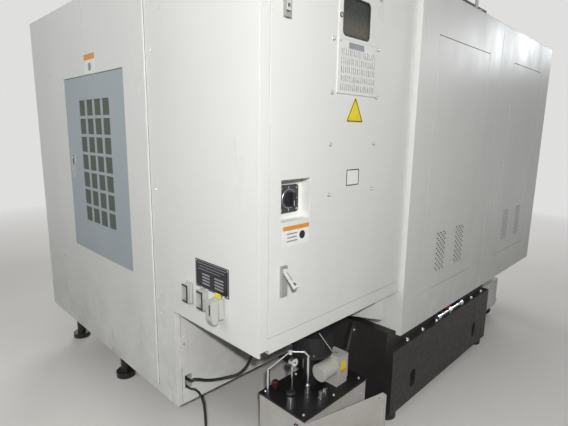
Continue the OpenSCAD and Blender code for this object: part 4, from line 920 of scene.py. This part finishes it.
def hydraulic_details():
    """Gauge face, motor ribs, valve label, level glass, cap screws and fittings."""
    low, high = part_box("hydraulic_tank")
    top = high.z / MM + 8
    side, rear = end_face(high.x), rear_face(high.y)
    gauge, valve_face = rear_face(BY + 404 * MM), rear_face(BY + 527 * MM)
    unit = Piece("hydraulic_details", "frame", "steel", "zinc", "white_print", "dark_print", "yellow",
                 "orange", "motor", "glass", "maroon")
    unit.add(frame_ring(circle(42, 40), circle(36, 40), 3, 0.8), gauge.at(*GAUGE))
    unit.add(plate(circle(36, 40), 0.8, 0.1), gauge.at(*GAUGE), 1)
    for k in range(9):
        place = gauge.at(*GAUGE, 0.8, 225 - 33.75 * k) @ shift(14)
        unit.add(plate(rounded(4, 1.0, 0.4), 0.2, 0.05), place, 2)
    unit.add(plate(rounded(22, 1.4, 0.6), 0.6, 0.1, 1.2), gauge.at(*GAUGE, 0, 150), 2)
    unit.add(turned([(4, 0), (4, 2), (0, 2.4)], 16), gauge.at(*GAUGE, 0.8), 2)
    ribs = 40
    for k in range(ribs):
        place = standing(*PUMP, 534) @ spin(360 / ribs * k) @ shift(95)
        unit.add(lofted([(rounded(6, 2.2, 0.8, 2), 0), (rounded(6, 2.2, 0.8, 2), 80)]), place, 5)
    for a in (45, 135, 225, 315):
        unit.add(hex_bolt(14, 8), standing(*PUMP, 530) @ spin(a) @ shift(90))
    unit.add(plate(rounded(40, 56, 2), 0.5, 0.1), valve_face.at(598, 452), 3)
    unit.add(plate(rounded(40, 14, 2), *PRINT), valve_face.at(598, 430), 4)
    unit.add(plate(rounded(26, 104, 6), 5.0, 1.2), side.at(532, 262), 7)
    unit.add(plate(rounded(11, 66, 4), 1.4, 0.4, 5.0), side.at(532, 258), 6)
    for z in (218, 304):
        unit.add(turned([(7, 0), (7, 7), (5, 9), (0, 9)], 6), side.at(532, z))
    for x in (-700, -500, -290):
        for y in (306, 550):
            unit.add(button_screw(13), standing(x, y, top))
    for x, y, d in ((-476, 500, 24), (-437, 522, 24), (-424, 452, 30), (-329, 436, 16)):
        unit.add(hex_bolt(d, 12), standing(x, y, top))
    unit.add(turned([(21, 30), (22, 34), (22, 46), (18, 50), (0, 50)], 30), standing(-322, 440, top), 2)
    cap = [(14, 0), (14, 10), (17, 12), (17, 30), (13, 34), (0, 34)]
    unit.add(turned(cap, 24), standing(-349, 312, top), 7)
    unit.add(turned([(6, 0), (6, 96), (4, 100), (0, 100)], 16), standing(-566, 300, top))
    for k in range(4):
        unit.add(button_screw(8), rear.at(692, 60 + 75 * k))
    unit.done()


def coolant_fittings():
    """Nuts, clamps and a ball valve's red lever on the pipe along the base's ledge."""
    fit = Piece("coolant_fittings", "frame", "steel", "zinc", "red_plastic")
    pipe_y, pipe_z = 582, 443
    for x in (-1840, -1660, -1500):
        fit.add(hex_bolt(38, 16), standing(x, pipe_y, pipe_z) @ spin(90, "Y"))
    clamp = frame_ring(circle(27, 24), circle(20.6, 24), 12, 0.8)
    for x in (-1800, -1580):
        fit.add(clamp, standing(x, pipe_y, pipe_z) @ spin(90, "Y"))
    grip = standing(-1664, pipe_y, pipe_z + 18)
    fit.add(turned([(7, 0), (7, 6), (5, 8), (0, 8)], 20), grip)
    fit.add(lofted([(rounded(60, 14, 4), 8), (rounded(60, 14, 4), 11)]), grip @ shift(26), 1)
    fit.done()


# Far end, front, roof


def door_trim():
    """Rubber round the window of each front door."""
    face = front_face(EX, FY + 12 * MM)
    for side in ("left", "right"):
        w, h, u, z = face.seen(side + "_window")
        trim = Piece(side + "_door_trim", "door_" + side, "rubber", "rubber")
        rubber = frame_ring(rounded(w - 6, h - 6, 16, 5), rounded(w - 34, h - 34, 10, 5), 4, 1.5)
        trim.add(rubber, face.at(u, z))
        trim.done()


def pendant_details():
    """Screen, blank soft keys, coloured keys, scale of the feed knob and the stop's yellow ring."""
    low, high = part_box("pendant")
    face = front_face(low.x, low.y + 5 * MM)
    keys = Piece("pendant_details", "pendant", "grey_plastic", "screen", "dark_print", "grey_print", "yellow",
                 "green_print", "orange", "blue_print", "white_print", "zinc")
    bottom = low.z / MM
    screen_z = bottom + 680 - 195
    screen = face.at(240, screen_z, -6)
    keys.add(plate(rounded(352, 262, 6), 1.0, 0.4), screen, 1)
    keys.add(plate(rounded(316, 226, 3), 0.6, 0.2, 1.0), screen)
    for k in range(3):
        for u, tone in ((160, 6), (310, 2)):
            field = face.at(u, screen_z + 60 - 52 * k, -6)
            keys.add(plate(rounded(130, 40, 2), 0.2, 0.05, 1.6), field, tone)
    pick = random.Random(7)
    for i in range(10):
        for j in range(4):
            tone = pick.choice((7, 7, 2, 2, 7, 4, 5)) if i > 5 else 7
            place = face.at(76 + 36 * i, bottom + 164 + 38 * j, 5)
            keys.add(plate(rounded(24, 24, 3), 0.5, 0.2), place, tone)
    row = bottom + 70
    keys.add(frame_ring(circle(62, 40), circle(42, 40), 1.2, 0.4), face.at(410, row), 3)
    knob = face.at(80, row)
    keys.add(frame_ring(circle(66, 40), circle(47, 40), 0.8, 0.3), knob, 1)
    for k in range(11):
        keys.add(plate(rounded(6, 1.4, 0.5), 0.2, 0.05), knob @ spin(-60 + 30 * k) @ shift(28, 0, 0.8), 7)
    for k, tone in enumerate((4, 5, 7)):
        place = face.at(170 + 60 * k, row)
        keys.add(turned([(11, 0), (11, 5), (9, 7), (0, 7)], 28), place, tone)
        keys.add(frame_ring(circle(30, 32), circle(22.6, 32), 2.4, 0.7), place, 8)
    keys.done()
    tip = front_face(low.x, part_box("feed_knob")[0].y)
    mark = Piece("feed_knob_mark", "feed_knob", "grey_plastic", "white_print")
    mark.add(plate(rounded(2, 14, 0.8), 0.3, 0.1, -0.2), tip.at(80, row + 13))
    mark.done()


def lamp_lenses():
    """Ribbed coloured lenses over the signal lamp's sections."""
    x, y = (sum(v) / 2 for v in zip(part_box("signal_lamp")[0].xy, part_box("signal_lamp")[1].xy))
    for k, tone in enumerate(("lamp_green", "lamp_amber", "lamp_red")):
        lens = Piece("lamp_lens_" + tone[5:], "frame", "grey_plastic", tone)
        base = ROOF / MM + 112 + 62 * k
        profile = [(28.6, 0)]
        for r in range(9):
            profile += [(29.4, 2 + 6 * r), (28.6, 5 + 6 * r)]
        profile += [(28.6, 56), (28.0, 56), (28.0, 0)]
        lens.add(turned(profile, 48), Matrix.Translation((x, y, base * MM)))
        lens.done()


# Cords


def knot(points, i):
    """Point i, or the end that is nearest."""
    return points[max(0, min(len(points) - 1, i))]


def course(points, steps=8):
    """Smooth curve through the points."""
    points = [Vector(p) for p in points]
    made = []
    for i in range(len(points) - 1):
        a, b, c, d = (knot(points, i + k) for k in (-1, 0, 1, 2))
        for k in range(steps):
            t = k / steps
            made.append(0.5 * (2 * b + (c - a) * t + (2 * a - 5 * b + 4 * c - d) * t * t
                               + (3 * b - a - 3 * c + d) * t * t * t))
    return made + [points[-1]]


CABLE_ONE = [(-63, -40, 372), (-63, -8, 374), (-64, 22, 377), (-76, 32, 384), (-100, 36, 375),
             (-144, 36, 352), (-195, 42, 336), (-250, 56, 330), (-300, 88, 342), (-326, 130, 400),
             (-332, 170, 500), (-331, 192, 600), (-330, 199, 680), (-330, 200, 720.6)]
CABLE_TWO = [(-55, -40, 338), (-56, -8, 338), (-60, 20, 337), (-80, 34, 328), (-104, 38, 290),
             (-124, 36, 220), (-132, 33, 140), (-140, 24, 70), (-160, 0, 22), (-200, -60, 8), (-260, -160, 7),
             (-340, -300, 7), (-420, -460, 7), (-520, -620, 7), (-660, -740, 7), (-820, -800, 7)]
HOSE = [(-635.6, 486, 472), (-656, 486, 474), (-686, 484, 498), (-716, 476, 546), (-760, 456, 580),
        (-820, 420, 574), (-872, 384, 524), (-896, 362, 484), (-914.5, 353, 470), (-933.7, 352, 470)]


def make_cord(name, points, diameter):
    path = [corner(*p) for p in course(points)]
    data = bpy.data.curves.new(name, "CURVE")
    data.dimensions = "3D"
    data.bevel_depth = diameter / 2 * MM
    data.bevel_resolution = 4
    data.use_fill_caps = True
    line = data.splines.new("POLY")
    line.points.add(len(path) - 1)
    for point, place in zip(line.points, path):
        point.co = (*place, 1.0)
    data.materials.append(FINISH["rubber"])
    made = bpy.data.objects.new(name, data)
    scene.collection.objects.link(made)
    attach(made, "frame")
    return made


def cable_end():
    """Stripped end of the supply cable: four cores with ferrules."""
    end = Piece("supply_cable_cores", "frame", "rubber", "dark_print", "blue_print", "green_print", "orange",
                "zinc")
    for k in range(4):
        a = math.tau * k / 4 + 0.6
        dy, dz = 2.4 * math.cos(a), 2.4 * math.sin(a)
        path = course([(-812, -797 + dy, 7 + dz), (-836, -806 + 2.5 * dy, 7 + dz),
                       (-862, -812 + 4 * dy, 5 + 0.6 * dz), (-884, -817 + 5 * dy, 4)], 5)
        end.add(swept(path, 1.7, 10), standing(0, 0, 0), k)
        end.add(swept([path[-1], path[-1] + Vector((-12, -2, 0))], 1.2, 8), standing(0, 0, 0), 4)
    return end.done()


def make_cords():
    cores = cable_end()
    first = make_cord("control_cable", CABLE_ONE, 15)
    make_cord("supply_cable", CABLE_TWO, 11)
    make_cord("hydraulic_hose", HOSE, 16)
    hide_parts("power_cables")


def glands():
    """Cable gland under the cabinet and the hose's end fittings."""
    parts = Piece("cable_glands", "frame", "black_plastic", "black_plastic", "zinc")
    gland = [(17, 0), (17, 10), (15, 12), (15, 16), (12, 24), (9.2, 34), (7.7, 34), (7.7, 0)]
    parts.add(turned(gland, 24), standing(-330, 200, 722) @ spin(180, "X"))
    ferrule = [(8.1, 0), (11, 0), (11, 16), (9.4, 18), (8.1, 18)]
    for x, y, z, turn in ((-635.4, 486, 472, -90), (-934.3, 352, 470, 90)):
        parts.add(turned(ferrule, 24), standing(x, y, z) @ spin(turn, "Y"), 1)
    parts.done()


# Studio


PALE = (0.74, 0.74, 0.73, 1.0)
# Distances from the machine's middle over which the floor fades, in metres
FADE = (3.2, 7.5)


def seen_by_eye(tree):
    """1 where the camera sees a surface, directly, in metal or through glass."""
    path = tree.nodes.new("ShaderNodeLightPath")
    seen = path.outputs["Is Camera Ray"]
    for name in ("Is Glossy Ray", "Is Transmission Ray"):
        either = tree.nodes.new("ShaderNodeMath")
        either.operation = "MAXIMUM"
        tree.links.new(seen, either.inputs[0])
        tree.links.new(path.outputs[name], either.inputs[1])
        seen = either.outputs[0]
    return seen


def studio_floor():
    """Pale floor that fades into the background."""
    size, z = 60.0, -0.0005
    floor_mesh = bpy.data.meshes.new("floor")
    corners = [(-size, -size, z), (size, -size, z), (size, size, z), (-size, size, z)]
    floor_mesh.from_pydata(corners, [], [(0, 1, 2, 3)])
    floor = bpy.data.objects.new("floor", floor_mesh)
    scene.collection.objects.link(floor)
    n = Nodes("floor")
    grain = n.span(n.noise(0.8, 4.0), 0.35, 0.7)
    pale = n.mix(grain, srgb(236, 233, 228), srgb(230, 227, 222))
    seen = seen_by_eye(n.tree)
    n.color(n.mix(seen, srgb(112, 110, 107), pale))
    n.put("Roughness", 0.75)
    away = n.new("ShaderNodeVectorMath", operation="LENGTH")
    n.link(n.place, away.inputs[0])
    glow = n.new("ShaderNodeEmission")
    glow.inputs["Color"].default_value = PALE
    blend = n.new("ShaderNodeMixShader")
    n.link(n.math("MULTIPLY", seen, n.span(away.outputs["Value"], *FADE)), blend.inputs[0])
    n.link(n.shader.outputs[0], blend.inputs[1])
    n.link(glow.outputs[0], blend.inputs[2])
    n.link(blend.outputs[0], n.tree.nodes["Material Output"].inputs["Surface"])
    floor_mesh.materials.append(n.material)


def background():
    """Pale where the camera sees it, and a faint cool light for the machine."""
    world = bpy.data.worlds.new("studio")
    scene.world = world
    world.use_nodes = True
    tree = world.node_tree
    light, seen = tree.nodes["Background"], tree.nodes.new("ShaderNodeBackground")
    light.inputs["Color"].default_value = (0.95, 0.98, 1.0, 1.0)
    light.inputs["Strength"].default_value = 0.05
    seen.inputs["Color"].default_value = PALE
    seen.inputs["Strength"].default_value = 1.0
    pick = tree.nodes.new("ShaderNodeMixShader")
    tree.links.new(seen_by_eye(tree), pick.inputs[0])
    tree.links.new(light.outputs[0], pick.inputs[1])
    tree.links.new(seen.outputs[0], pick.inputs[2])
    tree.links.new(pick.outputs[0], tree.nodes["World Output"].inputs["Surface"])


def lamp(name, place, aim, size, power, tone=(1.0, 1.0, 1.0)):
    data = bpy.data.lights.new(name, "AREA")
    data.shape = "RECTANGLE"
    data.size, data.size_y = size
    data.energy = power
    data.color = tone
    made = bpy.data.objects.new(name, data)
    scene.collection.objects.link(made)
    made.location = place
    made.rotation_mode = "QUATERNION"
    made.rotation_quaternion = (Vector(aim) - Vector(place)).to_track_quat("-Z", "Y")


def lamps():
    """A small lamp behind and above the lens, as the photo's flash, and soft lamps all round."""
    lamp("lens_lamp", (EX + 1.52, BY + 2.35, 2.24), (EX - 0.4, BY + 0.3, 1.0), (0.08, 0.08), 68)
    lamp("key", (EX + 1.2, BY + 3.4, 3.3), (EX - 0.9, BY + 0.58, 1.5), (2.0, 1.4), 32)
    lamp("end_fill", (EX + 3.2, BY - 0.9, 3.2), (EX, BY - 0.8, 1.5), (2.6, 2.0), 49, (0.96, 0.99, 1.0))
    lamp("top", (0.0, 0.3, 6.2), (0, 0, 1.0), (6.0, 4.0), 30)
    lamp("stripe", (EX - 6.6, BY + 2.0, 3.0), (EX - 1.5, RY, 1.9), (1.3, 0.6), 23, (0.93, 0.97, 1.0))
    lamp("front_key", (-2.4, FY - 4.6, 4.2), (0, FY, 1.2), (3.4, 2.6), 150)
    lamp("far_fill", (FX - 4.2, BY - 1.2, 3.2), (FX, BY - 0.8, 1.2), (2.8, 2.4), 60)


scene.view_settings.view_transform = "Standard"
make_cords()
glands()
end_sign()
cabinet_signs()
type_plate()
cabinet_screws()
skin_screws()
base_bolts()
main_switch()
handle_details()
fan_window()
cabinet_gasket()
seam_shade_strips()
panel_filters()
hatch_details()
connector_details()
hydraulic_details()
coolant_fittings()
door_trim()
pendant_details()
lamp_lenses()
studio_floor()
background()
lamps()
